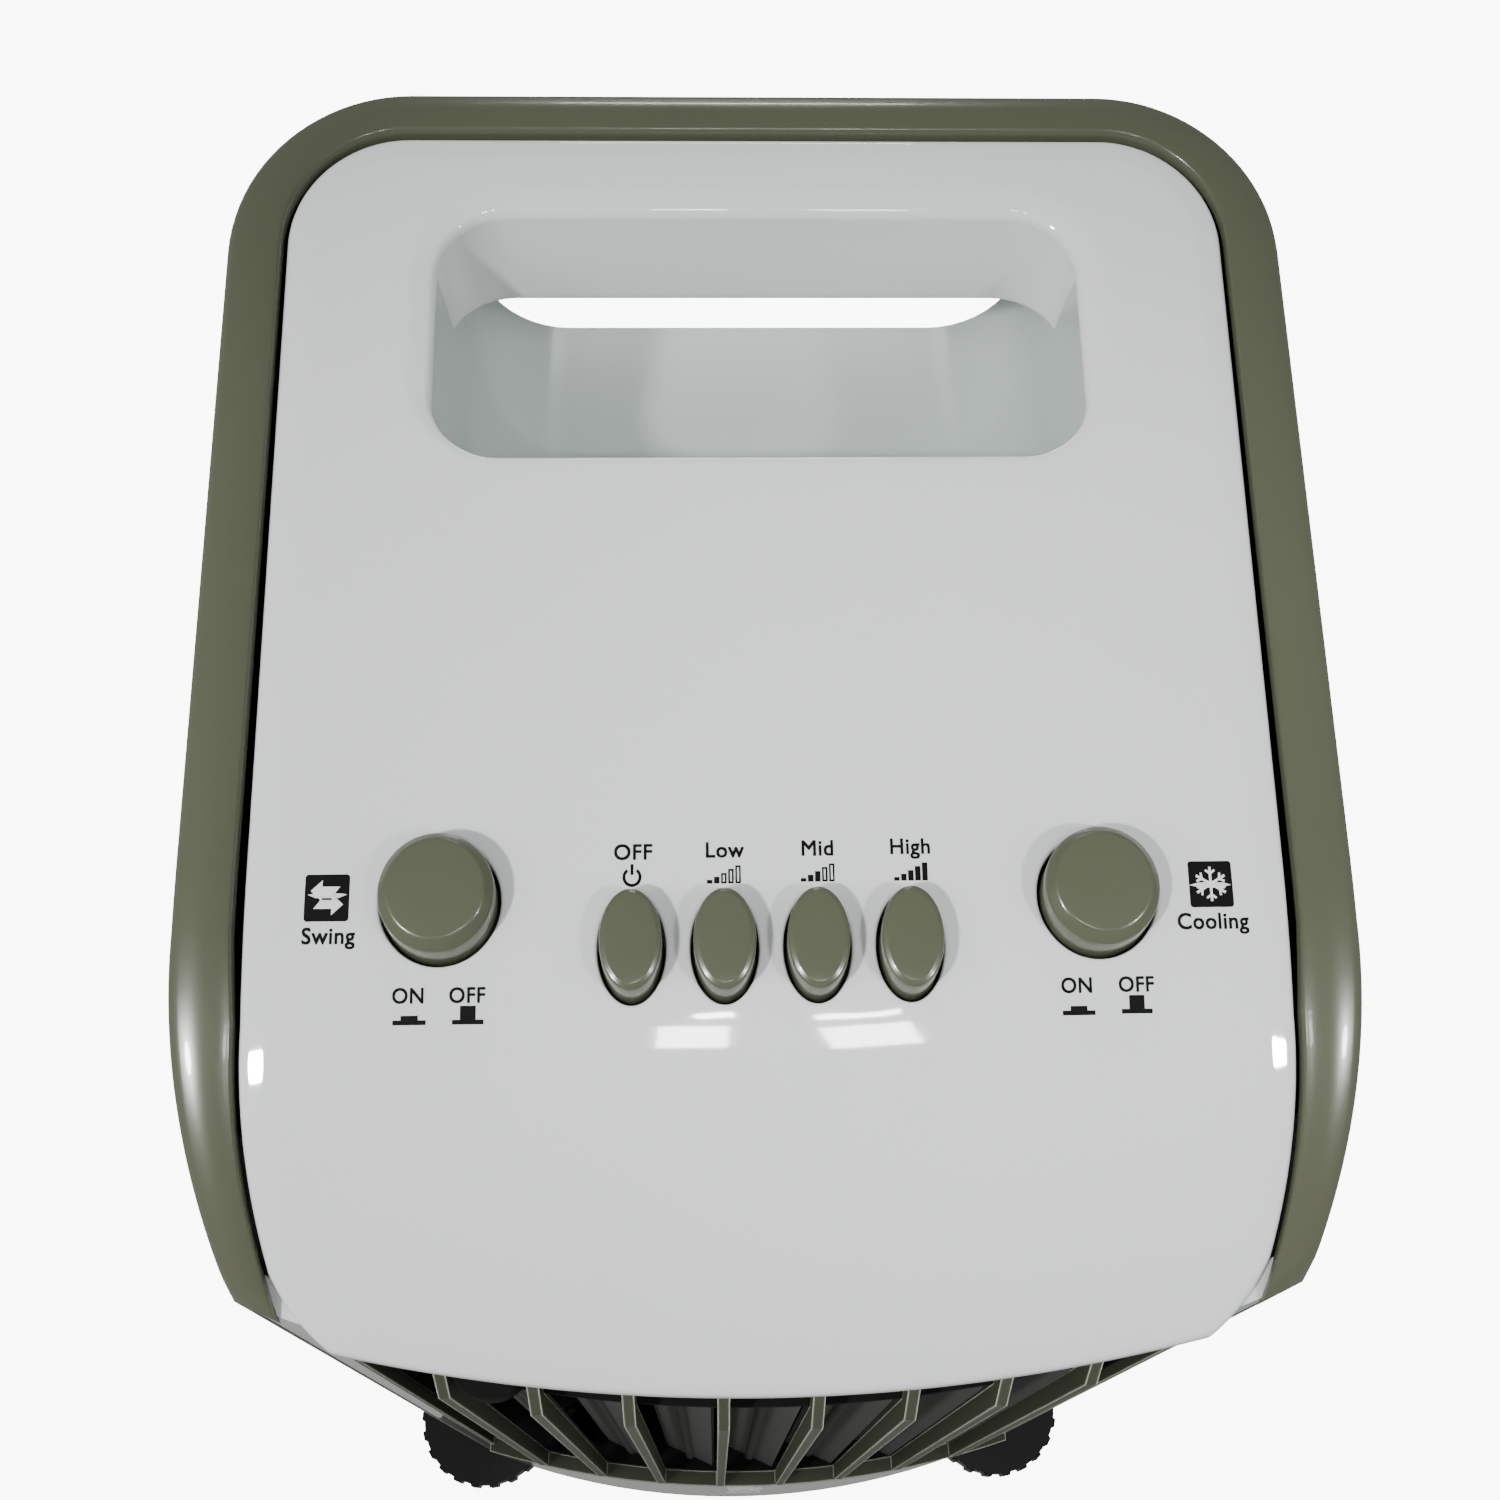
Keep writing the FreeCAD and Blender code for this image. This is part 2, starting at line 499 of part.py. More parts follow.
def vanes():
    """Seven upright vanes on pins, almost shut at rest, joined by a link bar and turned by a motor."""
    for index, step in enumerate(VANE_STEPS, start=1):
        centre = "rib_pitch * %s" % step
        pivot = bow("vane_inset", centre)
        arm_y = "%s + crank_r" % pivot
        tag = "vane_%d" % index
        blade = doc.addObject("Part::Box", tag + "_blade")
        blade.Placement = FreeCAD.Placement(V(), FreeCAD.Rotation(V(0, 0, 1), value("vane_rest")))
        for prop, text in (("Length", "1.8"), ("Width", "vane_chord"), ("Height", "vane_top - vane_low")):
            bind(blade, prop, text)
        sine, cosine = "sin(vane_rest * 1deg)", "cos(vane_rest * 1deg)"
        place(blade, "%s - 0.9 * %s + vane_chord / 2 * %s" % (centre, cosine, sine),
              "%s - 0.9 * %s - vane_chord / 2 * %s" % (pivot, sine, cosine), "vane_low")
        notch = box(tag + "_notch", ("%s - 11" % centre, "%s + 11" % centre),
                    ("%s + 0.5" % pivot, "%s + 16" % pivot),
                    ("link_z - 4", "link_z + 1.5"))
        stub = 18 if index == 1 else 8.5
        pin = rod(tag + "_pin", "vane_pin_r", "vane_top - vane_low + 6.5 + %s" % stub, centre, pivot,
                  "vane_low - 6.5")
        crank = rod(tag + "_crank", "1.5", "8", centre, arm_y, "link_z - 8.5")
        web = box(tag + "_web", ("%s - 1.5" % centre, "%s + 1.5" % centre), (pivot, arm_y),
                  ("link_z - 8.5", "link_z - 4"))
        part(tag, fuse("Vane_%d" % index, cut(tag + "_cut", blade, notch), pin, crank, web))
    bar = bowed("link_body", "vane_inset + crank_r - 4.2", "vane_inset + crank_r + 3.6", "link_z - 3",
                "link_z",
                "rib_pitch * 3 + 5")
    slots = []
    for index, step in enumerate(VANE_STEPS):
        centre = "rib_pitch * %s" % step
        arm_y = "%s + crank_r - 0.3" % bow("vane_inset", centre)
        slots.append(prism("link_slot_%d" % index, "xy", slot("2", "3", centre, arm_y),
                           "link_z - 4", "link_z + 1"))
    part("link_bar", cut("LinkBar", bar, *slots))
    first = bow("vane_inset", "rib_pitch * 3")
    body = rod("stepper_body", "10", "9", "-rib_pitch * 3", first, "vane_top + 5.2")
    bore = rod("stepper_bore", "vane_pin_r + 0.06", "12", "-rib_pitch * 3", first, "vane_top + 4.2")
    part("swing_motor", cut("SwingMotor", body, bore))


# --- blower -----------------------------------------------------------------

def scroll_path(grow):
    """The scroll in side view, moved out by grow: two quarter turns and a square outlet."""
    low = "wheel_z - 80 - %s" % grow
    back = "wheel_y + 88 + %s" % grow
    top = "wheel_z + 104 + %s" % grow
    return [("-38", low, 0), ("wheel_y + 2", low, "86 + %s" % grow), (back, "wheel_z + 6", "98 + %s" % grow),
            ("wheel_y - 10", top, 0), ("-38", top, 0)]


def blower():
    """Scroll housing with an inlet on each side, the bladed wheel, and the motor in one inlet."""
    outer = prism("scroll_out", "yz", scroll_path("2.5"), "-scroll_half", "scroll_half")
    inner = prism("scroll_in", "yz", scroll_path("0"), "-scroll_half + 2.5", "scroll_half - 2.5")
    eye = rod("scroll_eye", "58", "2 * scroll_half + 20", "-scroll_half - 10", "wheel_y", "wheel_z", "x")
    mouth = box("scroll_mouth", ("-scroll_half + 2.5", "scroll_half - 2.5"), ("-60", "-37"),
                ("wheel_z - 80", "wheel_z + 104"))
    part("scroll_housing", cut("ScrollHousing", outer, inner, eye, mouth))

    wheel = doc.addObject("PartDesign::Body", "BlowerWheel")
    plane = [item for item in wheel.Origin.OriginFeatures if item.Role == "XY_Plane"][0]

    def ring(name, radii, length):
        """Concentric circles padded both ways from the middle plane."""
        outline = wheel.newObject("Sketcher::SketchObject", name + "_circles")
        outline.AttachmentSupport = [(plane, "")]
        outline.MapMode = "FlatFace"
        for radius in radii:
            made = outline.addGeometry(Part.Circle(V(), V(0, 0, 1), value(radius)), False)
            outline.addConstraint(Sketcher.Constraint("Coincident", made, 3, -1, 1))
            rule = outline.addConstraint(Sketcher.Constraint("Radius", made, value(radius)))
            bind(outline, "Constraints[%d]" % rule, radius)
        pad = wheel.newObject("PartDesign::Pad", name)
        pad.Profile = outline
        pad.SideType = "Symmetric"
        bind(pad, "Length", length)
        return pad

    ring("wheel_disc", ("wheel_r - 1", "shaft_r"), "3")
    ring("wheel_hub", ("11", "shaft_r"), "24")
    outline = wheel.newObject("Sketcher::SketchObject", "blade_section")
    outline.AttachmentSupport = [(plane, "")]
    outline.MapMode = "FlatFace"
    corners = [("wheel_r - 12", "-0.7"), ("wheel_r - 0.8", "-3.9"), ("wheel_r - 0.8", "-2.5"),
               ("wheel_r - 12", "0.7")]
    for index in range(4):
        start, end = corners[index], corners[(index + 1) % 4]
        outline.addGeometry(Part.LineSegment(V(value(start[0]), value(start[1]), 0),
                                             V(value(end[0]), value(end[1]), 0)))
    for index, (u, v) in enumerate(corners):
        outline.addConstraint(Sketcher.Constraint("Coincident", index, 2, (index + 1) % 4, 1))
        for kind, text in (("DistanceX", u), ("DistanceY", v)):
            rule = outline.addConstraint(Sketcher.Constraint(kind, -1, 1, index, 1, value(text)))
            bind(outline, "Constraints[%d]" % rule, text)
    blade = wheel.newObject("PartDesign::Pad", "blade")
    blade.Profile = outline
    blade.SideType = "Symmetric"
    bind(blade, "Length", "2 * wheel_half")
    doc.recompute()
    pattern = wheel.newObject("PartDesign::PolarPattern", "blade_ring")
    pattern.Originals = [blade]
    pattern.Axis = (outline, ["N_Axis"])
    pattern.Angle = 360
    bind(pattern, "Occurrences", "blades")
    wheel.Tip = pattern
    wheel.Placement = FreeCAD.Placement(V(), ALONG["x"])
    place(wheel, "0", "wheel_y", "wheel_z")
    rims = [tube("rim_%d" % side, "wheel_r", "wheel_r - 6", "3", "%d * (wheel_half - 1.5) - 1.5" % side,
                 "wheel_y", "wheel_z", "x") for side in (-1, 1)]
    part("blower_wheel", fuse("WheelAndRims", wheel, *rims))
    part("motor_shaft", rod("MotorShaft", "shaft_r", "scroll_half + 26", "-scroll_half - 12", "wheel_y",
                            "wheel_z", "x"))

    can = rod("motor_can", "motor_r", "44", "-scroll_half - 52", "wheel_y", "wheel_z", "x")
    nose = rod("motor_nose", "12", "5", "-scroll_half - 8", "wheel_y", "wheel_z", "x")
    bore = rod("motor_bore", "shaft_r + 0.08", "20", "-scroll_half - 14", "wheel_y", "wheel_z", "x")
    part("fan_motor", cut("FanMotor", fuse("motor_body", can, nose), bore))
    flange = cut("bracket_flange", tube("bracket_ring", "66", "56", "2.4", "-scroll_half - 2.5", "wheel_y",
                                        "wheel_z", "x"),
                 box("bracket_flat", ("-80", "-40"), ("-80", "-34"), ("200", "500")))
    plate = tube("bracket_plate", "32", "12.2", "2.4", "-scroll_half - 7.9", "wheel_y", "wheel_z", "x")
    arms = []
    for turn in (0, 90, 270):
        arm = doc.addObject("Part::Box", "bracket_arm_%d" % turn)
        for prop, text in (("Length", "7.8"), ("Width", "34"), ("Height", "9")):
            bind(arm, prop, text)
        spin = FreeCAD.Rotation(V(1, 0, 0), turn)
        arm.Placement = FreeCAD.Placement(V(), spin)
        reach = spin.multVec(V(0, 29, -4.5))
        place(arm, "-scroll_half - 7.9", "wheel_y + %.4f" % reach.y, "wheel_z + %.4f" % reach.z)
        arms.append(arm)
    part("motor_bracket", fuse("MotorBracket", flange, plate, *arms))


# --- water circuit ------------------------------------------------------------

def water():
    """Tank drawer, pump, hose, drip tray, wet pad and the rear filter panel."""
    half, low, top, front = "tank_half", "tank_low", "tank_top", "tank_front"
    block = box("tank_out", ("-%s" % half, half), (front, "170"), (low, "%s + 9" % top))
    rounded = common("tank_block", block, prism("tank_round", "xy", cabinet_path("0.2"), "60", "200"))
    inside = box("tank_in", ("-%s + tank_wall" % half, "%s - tank_wall" % half),
                 ("%s + tank_wall" % front, "140 - tank_wall"), ("%s + tank_wall" % low, "%s + 20" % top))
    rim = box("tank_rim", ("-200", "200"), ("-200", "137"), (top, "%s + 20" % top))
    pull = box("tank_pull", ("-45", "45"), ("143", "170"), ("%s - 22" % top, "%s - 2" % top))
    drain = rod("drain_hole", "6", "60", "60", "120", "%s + 12" % low, "y")
    part("water_tank", cut("WaterTank", rounded, inside, rim, pull, drain))
    plug_head = rod("plug_head", "9", "2", "60", "body_back - 0.1", "%s + 12" % low, "y")
    plug_stem = rod("plug_stem", "5.9", "16", "60", "body_back - 16", "%s + 12" % low, "y")
    part("drain_plug", fuse("DrainPlug", plug_head, plug_stem))

    pump = box("pump_body", ("hose_x - 16", "hose_x + 20"), ("hose_y - 20", "hose_y + 24"),
               ("%s + tank_wall" % low, "%s + 44" % low))
    riser = rod("pump_riser", "hose_r", "%s - %s - 40 + 8" % (top, low), "hose_x", "hose_y", "%s + 40" % low)
    part("water_pump", fuse("WaterPump", pump, riser))
    part("dock_seal", tube("DockSeal", "9", "3.4", "8", "hose_x", "hose_y", "%s + 8.5" % top))

    tray = box("tray_out", ("-pad_half", "pad_half"), ("pad_front - 4", "pad_back + 1"),
               ("pad_top + 1", "pad_top + 15"))
    tray_in = box("tray_in", ("-pad_half + 2", "pad_half - 2"), ("pad_front - 2", "pad_back - 1"),
                  ("pad_top + 3", "pad_top + 16"))
    drips = [rod("drip_%d" % index, "1.6", "6", "%d * 16" % index, "pad_front + 12",
                 "pad_top") for index in range(-5, 6)]
    part("drip_tray", cut("DripTray", tray, tray_in, *drips))
    part("cooling_pad", box("CoolingPad", ("-pad_half", "pad_half"), ("pad_front", "pad_back"),
                            ("pad_low", "pad_top")))

    outer = box("filter_out", ("-filter_half", "filter_half"), ("body_back + 0.3", "filter_back"),
                ("filter_low", "filter_top"))
    lip = box("filter_lip", ("-filter_half + 6.5", "filter_half - 6.5"), ("148", "body_back + 1"),
              ("filter_low + 6.5", "filter_top - 6.5"))
    window = box("filter_window", ("-filter_half + 14", "filter_half - 14"), ("140", "170"),
                 ("filter_low + 14", "filter_top - 14"))
    slats = []
    for index in range(1, 16):
        z = "filter_low + 14 + %d * (filter_top - filter_low - 28) / 16" % index
        slats.append(box("slat_%d" % index, ("-filter_half + 13", "filter_half - 13"),
                         ("body_back - 1", "filter_back - 0.6"),
                         ("%s - 1.5" % z, "%s + 1.5" % z)))
    mullions = [box("mullion_%d" % side, ("%d * 30 - 1.5" % side, "%d * 30 + 1.5" % side),
                    ("body_back - 1", "filter_back - 1"),
                    ("filter_low + 13", "filter_top - 13")) for side in (-1, 1)]
    part("filter_frame", fuse("FilterFrame", cut("filter_rim", fuse("filter_solid", outer, lip), window),
                              *slats, *mullions))
    part("dust_mesh", box("DustMesh", ("-filter_half + 15", "filter_half - 15"), ("148.5", "149.3"),
                          ("filter_low + 15", "filter_top - 15")))


def hose():
    """Riser hose from the dock seal up to the drip tray: straight runs joined by one bend."""
    start = V(value("hose_x"), value("hose_y"), value("tank_top + 16.5"))
    bend = 14
    corner = V(start.x, start.y, value("pad_top + 9"))
    end = V(start.x, value("pad_front - 4"), corner.z)
    before, after = V(corner.x, corner.y, corner.z - bend), V(corner.x, corner.y + bend, corner.z)
    middle = V(corner.x, corner.y + bend * (1 - math.sqrt(0.5)), corner.z - bend * (1 - math.sqrt(0.5)))
    spine = Part.Wire([Part.LineSegment(start, before).toShape(), Part.Arc(before, middle, after).toShape(),
                       Part.LineSegment(after, end).toShape()])
    section = Part.Wire([Part.Circle(start, V(0, 0, 1), value("hose_r")).toShape()])
    obj = doc.addObject("Part::Feature", "RiserHose")
    obj.Shape = spine.makePipeShell([section], True, True)
    part("riser_hose", obj)


def inner_deck():
    """Shelf between the tank and the blower, with two walls that carry the scroll."""
    plate = common("deck_plate", prism("deck_out", "xy", cabinet_path("6"), "184", "187"),
                   box("deck_zone", ("-200", "200"), ("-92", "114"), ("180", "190")))
    walls = [box("deck_wall_%d" % (side + 1), ("%d * 40 - 1.5" % side, "%d * 40 + 1.5" % side), ("-30", "60"),
                 ("186", "wheel_z - 82.7")) for side in (-1, 1)]
    hole = rod("deck_hole", "9.1", "20", "hose_x", "hose_y", "175")
    part("inner_deck", cut("InnerDeck", fuse("deck_solid", plate, *walls), hole))


# --- base, casters and small parts -----------------------------------------------

def base():
    """Black base with a round wing over each caster."""
    plate = prism("base_plate", "xy", cabinet_path("0.2"), "base_low", "base_top")
    corners = [(sx, sy) for sx in (-1, 1) for sy in (-1, 1)]
    wings = [rod("wing_%d_%d" % (sx + 1, sy + 1), "wing_x - caster_x", "base_top - base_low - 0.5",
                 "%d * caster_x" % sx, "%d * caster_y" % sy, "base_low") for sx, sy in corners]
    rails = [box("rail_%d" % (side + 1), ("%d * 90 - 8" % side, "%d * 90 + 8" % side),
                 ("tank_front + 4", "138"),
                 ("base_top - 1", "tank_low - 0.3")) for side in (-1, 1)]
    sockets = [rod("socket_%d_%d" % (sx + 1, sy + 1), "4.08", "20", "%d * caster_x" % sx,
                   "%d * caster_y" % sy, "base_low - 4")
               for sx, sy in corners]
    part("base", cut("BasePlate", fuse("base_solid", plate, *wings, *rails), *sockets))


def casters():
    """Four twin-wheel casters: a swivelling fork with its axle, and the wheels."""
    for name, sx, sy in (("front_left", -1, -1), ("front_right", 1, -1), ("rear_left", -1, 1),
                         ("rear_right", 1, 1)):
        x, y = "%d * caster_x" % sx, "%d * caster_y" % sy
        axle_y = "%s + caster_trail" % y
        crown = rod(name + "_crown", "15", "5", x, y, "base_low - 6")
        web = box(name + "_web", ("%s - 2.5" % x, "%s + 2.5" % x), ("%s - 8" % y, "%s + 17" % y),
                  ("wheel_rad - 7", "base_low - 4"))
        stem = rod(name + "_stem", "4", "16", x, y, "base_low - 4.5")
        axle = rod(name + "_axle", "2.5", "29", "%s - 14.5" % x, axle_y, "wheel_rad", "x")
        part("caster_fork_" + name, fuse("Fork_" + name, crown, web, stem, axle))
        pair = rod(name + "_tread", "wheel_rad", "28", "%s - 14" % x, axle_y, "wheel_rad", "x")
        gap = rod(name + "_gap", "wheel_rad + 1", "6.6", "%s - 3.3" % x, axle_y, "wheel_rad", "x")
        bore = rod(name + "_bore", "2.56", "40", "%s - 20" % x, axle_y, "wheel_rad", "x")
        part("caster_wheels_" + name, cut("Wheels_" + name, pair, gap, bore))


def screw(name, x, y, z, along):
    """A cross-recess screw head, 7 mm across."""
    head = rod(name + "_head", "3.5", "1.6", x, y, z, along)
    bars = []
    for wide, tall in ((4.4, 1.0), (1.0, 4.4)):
        span = ("%s - %s" % (x, wide / 2), "%s + %s" % (x, wide / 2))
        if along == "y":
            deep, rise = ("%s + 0.7" % y, "%s + 3" % y), ("%s - %s" % (z, tall / 2),
                                                          "%s + %s" % (z, tall / 2))
        else:
            deep, rise = ("%s - %s" % (y, tall / 2), "%s + %s" % (y, tall / 2)), ("%s - 2" % z,
                                                                                  "%s + 0.9" % z)
        bars.append(box("%s_bar_%d" % (name, wide), span, deep, rise))
    return cut(name, head, *bars)


def small_parts():
    """Level window, cable gland, terminal block, capacitor and screws."""
    window = common("window_body", cut("window_ring", prism("window_out", "xy", cabinet_path("0.3"), "80",
                                                            "180"),
                                       prism("window_in", "xy", cabinet_path("2.8"), "79", "181")),
                    box("window_zone", ("-7.8", "7.8"), ("-170", "-120"), ("90.2", "169.8")))
    part("level_window", window)
    stem = rod("gland_stem", "7", "8", "80", "148", "194", "y")
    head = rod("gland_head", "9.5", "4", "80", "body_back + 0.1", "194", "y")
    throat = rod("gland_throat", "3.5", "30", "80", "140", "194", "y")
    part("cord_gland", cut("CordGland", fuse("gland_solid", stem, head), throat))
    part("terminal_block", box("TerminalBlock", ("72", "104"), ("88", "102"), ("187.2", "207")))
    part("motor_capacitor", box("MotorCapacitor", ("72", "110"), ("40", "60"), ("187.2", "214")))
    rear = doc.addObject("Part::Compound", "RearScrews")
    rear.Links = [screw("rear_screw_%d_%d" % (side + 1, z), "%d * %d" % (side, x), "body_back + 0.05", z, "y")
                  for side in (-1, 1) for x, z in ((95, 567), (40, 193))]
    part("rear_screws", rear)
    below = doc.addObject("Part::Compound", "BaseScrews")
    below.Links = [screw("base_screw_%d_%d" % (side + 1, row), "%d * 60" % side, "%d * 95" % row,
                         "base_low - 1.65", "z")
                   for side in (-1, 1) for row in (-1, 0, 1)]
    part("base_screws", below)


for make in (rear_shell, front_shell, top_panel, keys, switches, front_grille, outlet_duct, vanes, blower,
             water, hose, inner_deck, base, casters, small_parts):
    make()
doc.recompute()

for obj in doc.Objects:
    if "Invalid" in obj.State or "Error" in obj.State:
        raise SystemExit("failed: %s %s" % (obj.Name, obj.State))
os.makedirs("parts", exist_ok=True)
for node, obj in parts.items():
    shape = obj.Shape
    if shape.isNull() or not shape.isValid() or shape.Volume <= 0:
        raise SystemExit("bad shape: %s" % node)
for node, obj in parts.items():
    obj.Shape.exportStep("parts/%s.step" % node)
    box_now = obj.Shape.BoundBox
    print("%-28s solids %2d  volume %10.0f  x %.1f %.1f  y %.1f %.1f  z %.1f %.1f" % (
        node, len(obj.Shape.Solids), obj.Shape.Volume, box_now.XMin, box_now.XMax,
        box_now.YMin, box_now.YMax, box_now.ZMin, box_now.ZMax))
print(len(parts), "sub-parts")
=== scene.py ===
import math
import bpy
import bmesh
import numpy as np
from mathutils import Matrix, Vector
from mathutils.geometry import delaunay_2d_cdt


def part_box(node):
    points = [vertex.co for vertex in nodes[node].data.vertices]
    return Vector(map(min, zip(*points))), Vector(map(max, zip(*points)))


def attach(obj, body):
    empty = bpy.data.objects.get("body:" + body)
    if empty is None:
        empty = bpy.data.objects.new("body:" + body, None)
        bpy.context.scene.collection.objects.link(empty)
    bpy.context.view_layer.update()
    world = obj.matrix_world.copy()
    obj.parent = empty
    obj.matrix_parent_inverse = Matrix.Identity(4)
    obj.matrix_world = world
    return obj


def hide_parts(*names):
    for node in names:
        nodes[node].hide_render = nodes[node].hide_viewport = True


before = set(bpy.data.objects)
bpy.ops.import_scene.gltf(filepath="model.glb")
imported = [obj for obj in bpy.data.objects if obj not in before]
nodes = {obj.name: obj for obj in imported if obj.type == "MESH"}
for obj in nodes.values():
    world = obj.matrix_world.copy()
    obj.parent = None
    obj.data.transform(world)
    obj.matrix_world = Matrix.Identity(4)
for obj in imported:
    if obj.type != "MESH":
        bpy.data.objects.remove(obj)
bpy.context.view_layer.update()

MM = 0.001


def cad(node):
    """Lowest and highest corner of a CAD node, in millimetres."""
    low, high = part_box(node)
    return np.array(low) / MM, np.array(high) / MM


# --- driving sizes, in millimetres, from the frame where it holds them -------------

SHELL_LOW, SHELL_HIGH = cad("rear_shell")
HALF, BACK, TOP = SHELL_HIGH          # half width, rear face and highest edge of the cabinet
SKIRT = SHELL_LOW[2]                  # bottom edge of the shells
PANEL_HALF = cad("top_panel")[1][0]
SLOPE = math.radians(14)              # the panel falls towards the front
ROLL_Y, ROLL_R = -46.0, 241.0         # where the fall steepens into the rolled visor
VISOR_Y = -153.5
CORNER_R, SIDE_FRONT_Y, SIDE_ARC_R = 45.0, -60.0, 175.0
NOSE_HALF, NOSE_Y = 121.8, -132.5
PANEL_BACK, PANEL_BACK_R = 140.6, 30.0
PANEL_NOSE = (100.0, -143.3)
PANEL_FRONT_R, PANEL_SIDE_R, WAIST_Y = 505.0, 154.0, -80.0
CHEEK = (112.9, -128.0)               # where the panel turns in towards its front corner
CHEEK_R = 40.0
GAP = 1.1                             # dark joint between the panel and the trim
TRIM_TIP = (111.6, -136.9)
GRIP_HALF, GRIP_FRONT, GRIP_REAR = 82.0, 52.0, 119.0
GRIP_FLOOR, BAR_LOW = 545.0, 589.0


def roof(y):
    """Height of the roof surface at y: a straight slope that rolls down to the visor."""
    y = np.asarray(y, float)
    flat = TOP - (BACK - y) * math.tan(SLOPE)
    start = TOP - (BACK - ROLL_Y) * math.tan(SLOPE)
    sine = np.clip(math.sin(SLOPE) + (ROLL_Y - y) / ROLL_R, None, 0.985)
    rolled = start - ROLL_R * (math.cos(SLOPE) - np.sqrt(1 - sine ** 2))
    return np.where(y >= ROLL_Y, flat, rolled)


# --- plan outlines ------------------------------------------------------------------

def arc(start, end, radius, count):
    """Points from start towards end, without the end, on an arc that turns left."""
    start, end = np.array(start, float), np.array(end, float)
    chord = end - start
    length = np.hypot(*chord)
    left = np.array([-chord[1], chord[0]]) / length
    centre = (start + end) / 2 + left * math.sqrt(max(radius ** 2 - length ** 2 / 4, 0))
    first = math.atan2(*(start - centre)[::-1])
    last = math.atan2(*(end - centre)[::-1])
    turn = (last - first) % (2 * math.pi)
    angles = first + turn * np.arange(count) / count
    return centre + radius * np.column_stack([np.cos(angles), np.sin(angles)])


def line(start, end, count):
    t = np.arange(count)[:, None] / count
    return np.array(start, float) * (1 - t) + np.array(end, float) * t


def mirror(points):
    """The same run on the left side, in the opposite order."""
    return (points * [-1, 1])[::-1]


def offset(points, distance):
    """A closed, counter-clockwise outline moved outwards by distance."""
    ahead, behind = np.roll(points, -1, 0), np.roll(points, 1, 0)
    along = ahead - behind
    along /= np.linalg.norm(along, axis=1)[:, None]
    return points + np.column_stack([along[:, 1], -along[:, 0]]) * distance


def oval(centre, half_x, half_y, count=72):
    angles = np.arange(count) * 2 * math.pi / count
    return np.array(centre) + np.column_stack([half_x * np.cos(angles), half_y * np.sin(angles)])


def rounded(half_x, low, high, radius, steps=10, straight=12):
    """A rounded rectangle, counter-clockwise."""
    points = []
    centres = [(half_x - radius, low + radius), (half_x - radius, high - radius),
               (-half_x + radius, high - radius), (-half_x + radius, low + radius)]
    for index, centre in enumerate(centres):
        start = -math.pi / 2 + index * math.pi / 2
        angles = start + np.arange(steps + 1) * math.pi / 2 / steps
        curve = np.array(centre) + radius * np.column_stack([np.cos(angles), np.sin(angles)])
        points.append(curve)
        begin = centres[(index + 1) % 4]
        next_start = np.array(begin) + radius * np.array([math.cos(angles[-1]), math.sin(angles[-1])])
        points.append(line(curve[-1], next_start, straight)[1:])
    return np.vstack(points)


def cup(half_x, low, high, radius, steps=14):
    """A cup seen from the front: square above, with large round corners below."""
    angles = -math.pi / 2 + np.arange(steps + 1) * math.pi / 2 / steps
    corner = np.array([half_x - radius, low + radius]) + radius * np.column_stack([np.cos(angles),
                                                                                   np.sin(angles)])
    return np.vstack([corner, [(half_x, high), (-half_x, high)], mirror(corner)])


def panel_outline():
    """The white panel in plan, counter-clockwise from the front right corner."""
    waist = PANEL_HALF - 1.2
    turn = PANEL_HALF - PANEL_BACK_R, PANEL_BACK - PANEL_BACK_R
    right = np.vstack([arc(PANEL_NOSE, CHEEK, CHEEK_R, 12), arc(CHEEK, (waist, WAIST_Y), PANEL_SIDE_R, 20),
                       line((waist, WAIST_Y), (PANEL_HALF, turn[1]), 64),
                       arc((PANEL_HALF, turn[1]), (turn[0], PANEL_BACK), PANEL_BACK_R, 24),
                       line((turn[0], PANEL_BACK), (0, PANEL_BACK), 30)])
    left = mirror(np.vstack([right, [(0, PANEL_BACK)]]))[1:]
    front = arc((-PANEL_NOSE[0], PANEL_NOSE[1]), PANEL_NOSE, PANEL_FRONT_R, 64)
    return np.vstack([right, [(0, PANEL_BACK)], left[:-1], front])


# --- mesh helpers -------------------------------------------------------------------

def piece(name, verts, faces, material, body="cabinet", replaces=(), sharp=35):
    """A mesh object from points in millimetres, smooth except at edges sharper than sharp degrees."""
    mesh = bpy.data.meshes.new(name)
    mesh.from_pydata([tuple(float(c) * MM for c in v) for v in verts], [], faces)
    mesh.validate()
    mesh.shade_smooth()
    if sharp:
        mesh.set_sharp_from_angle(angle=math.radians(sharp))
    obj = bpy.data.objects.new(name, mesh)
    bpy.context.scene.collection.objects.link(obj)
    mesh.materials.append(material)
    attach(obj, body)
    if replaces:
        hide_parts(*replaces)
    return obj


def loft_faces(rings, ring_size, closed=False, capped=True):
    """Quads between rings of equal size; the ends are closed by one face each."""
    faces = []
    spans = rings if closed else rings - 1
    for i in range(spans):
        a, b = i * ring_size, ((i + 1) % rings) * ring_size
        for j in range(ring_size):
            k = (j + 1) % ring_size
            faces.append((a + j, a + k, b + k, b + j))
    if capped and not closed:
        faces.append(tuple(range(ring_size))[::-1])
        last = (rings - 1) * ring_size
        faces.append(tuple(last + j for j in range(ring_size)))
    return faces


def fix_normals(obj):
    mesh = bmesh.new()
    mesh.from_mesh(obj.data)
    bmesh.ops.recalc_face_normals(mesh, faces=mesh.faces)
    mesh.to_mesh(obj.data)
    mesh.free()
    return obj


def hide_cutter(obj):
    bpy.data.objects.remove(obj, do_unlink=True)


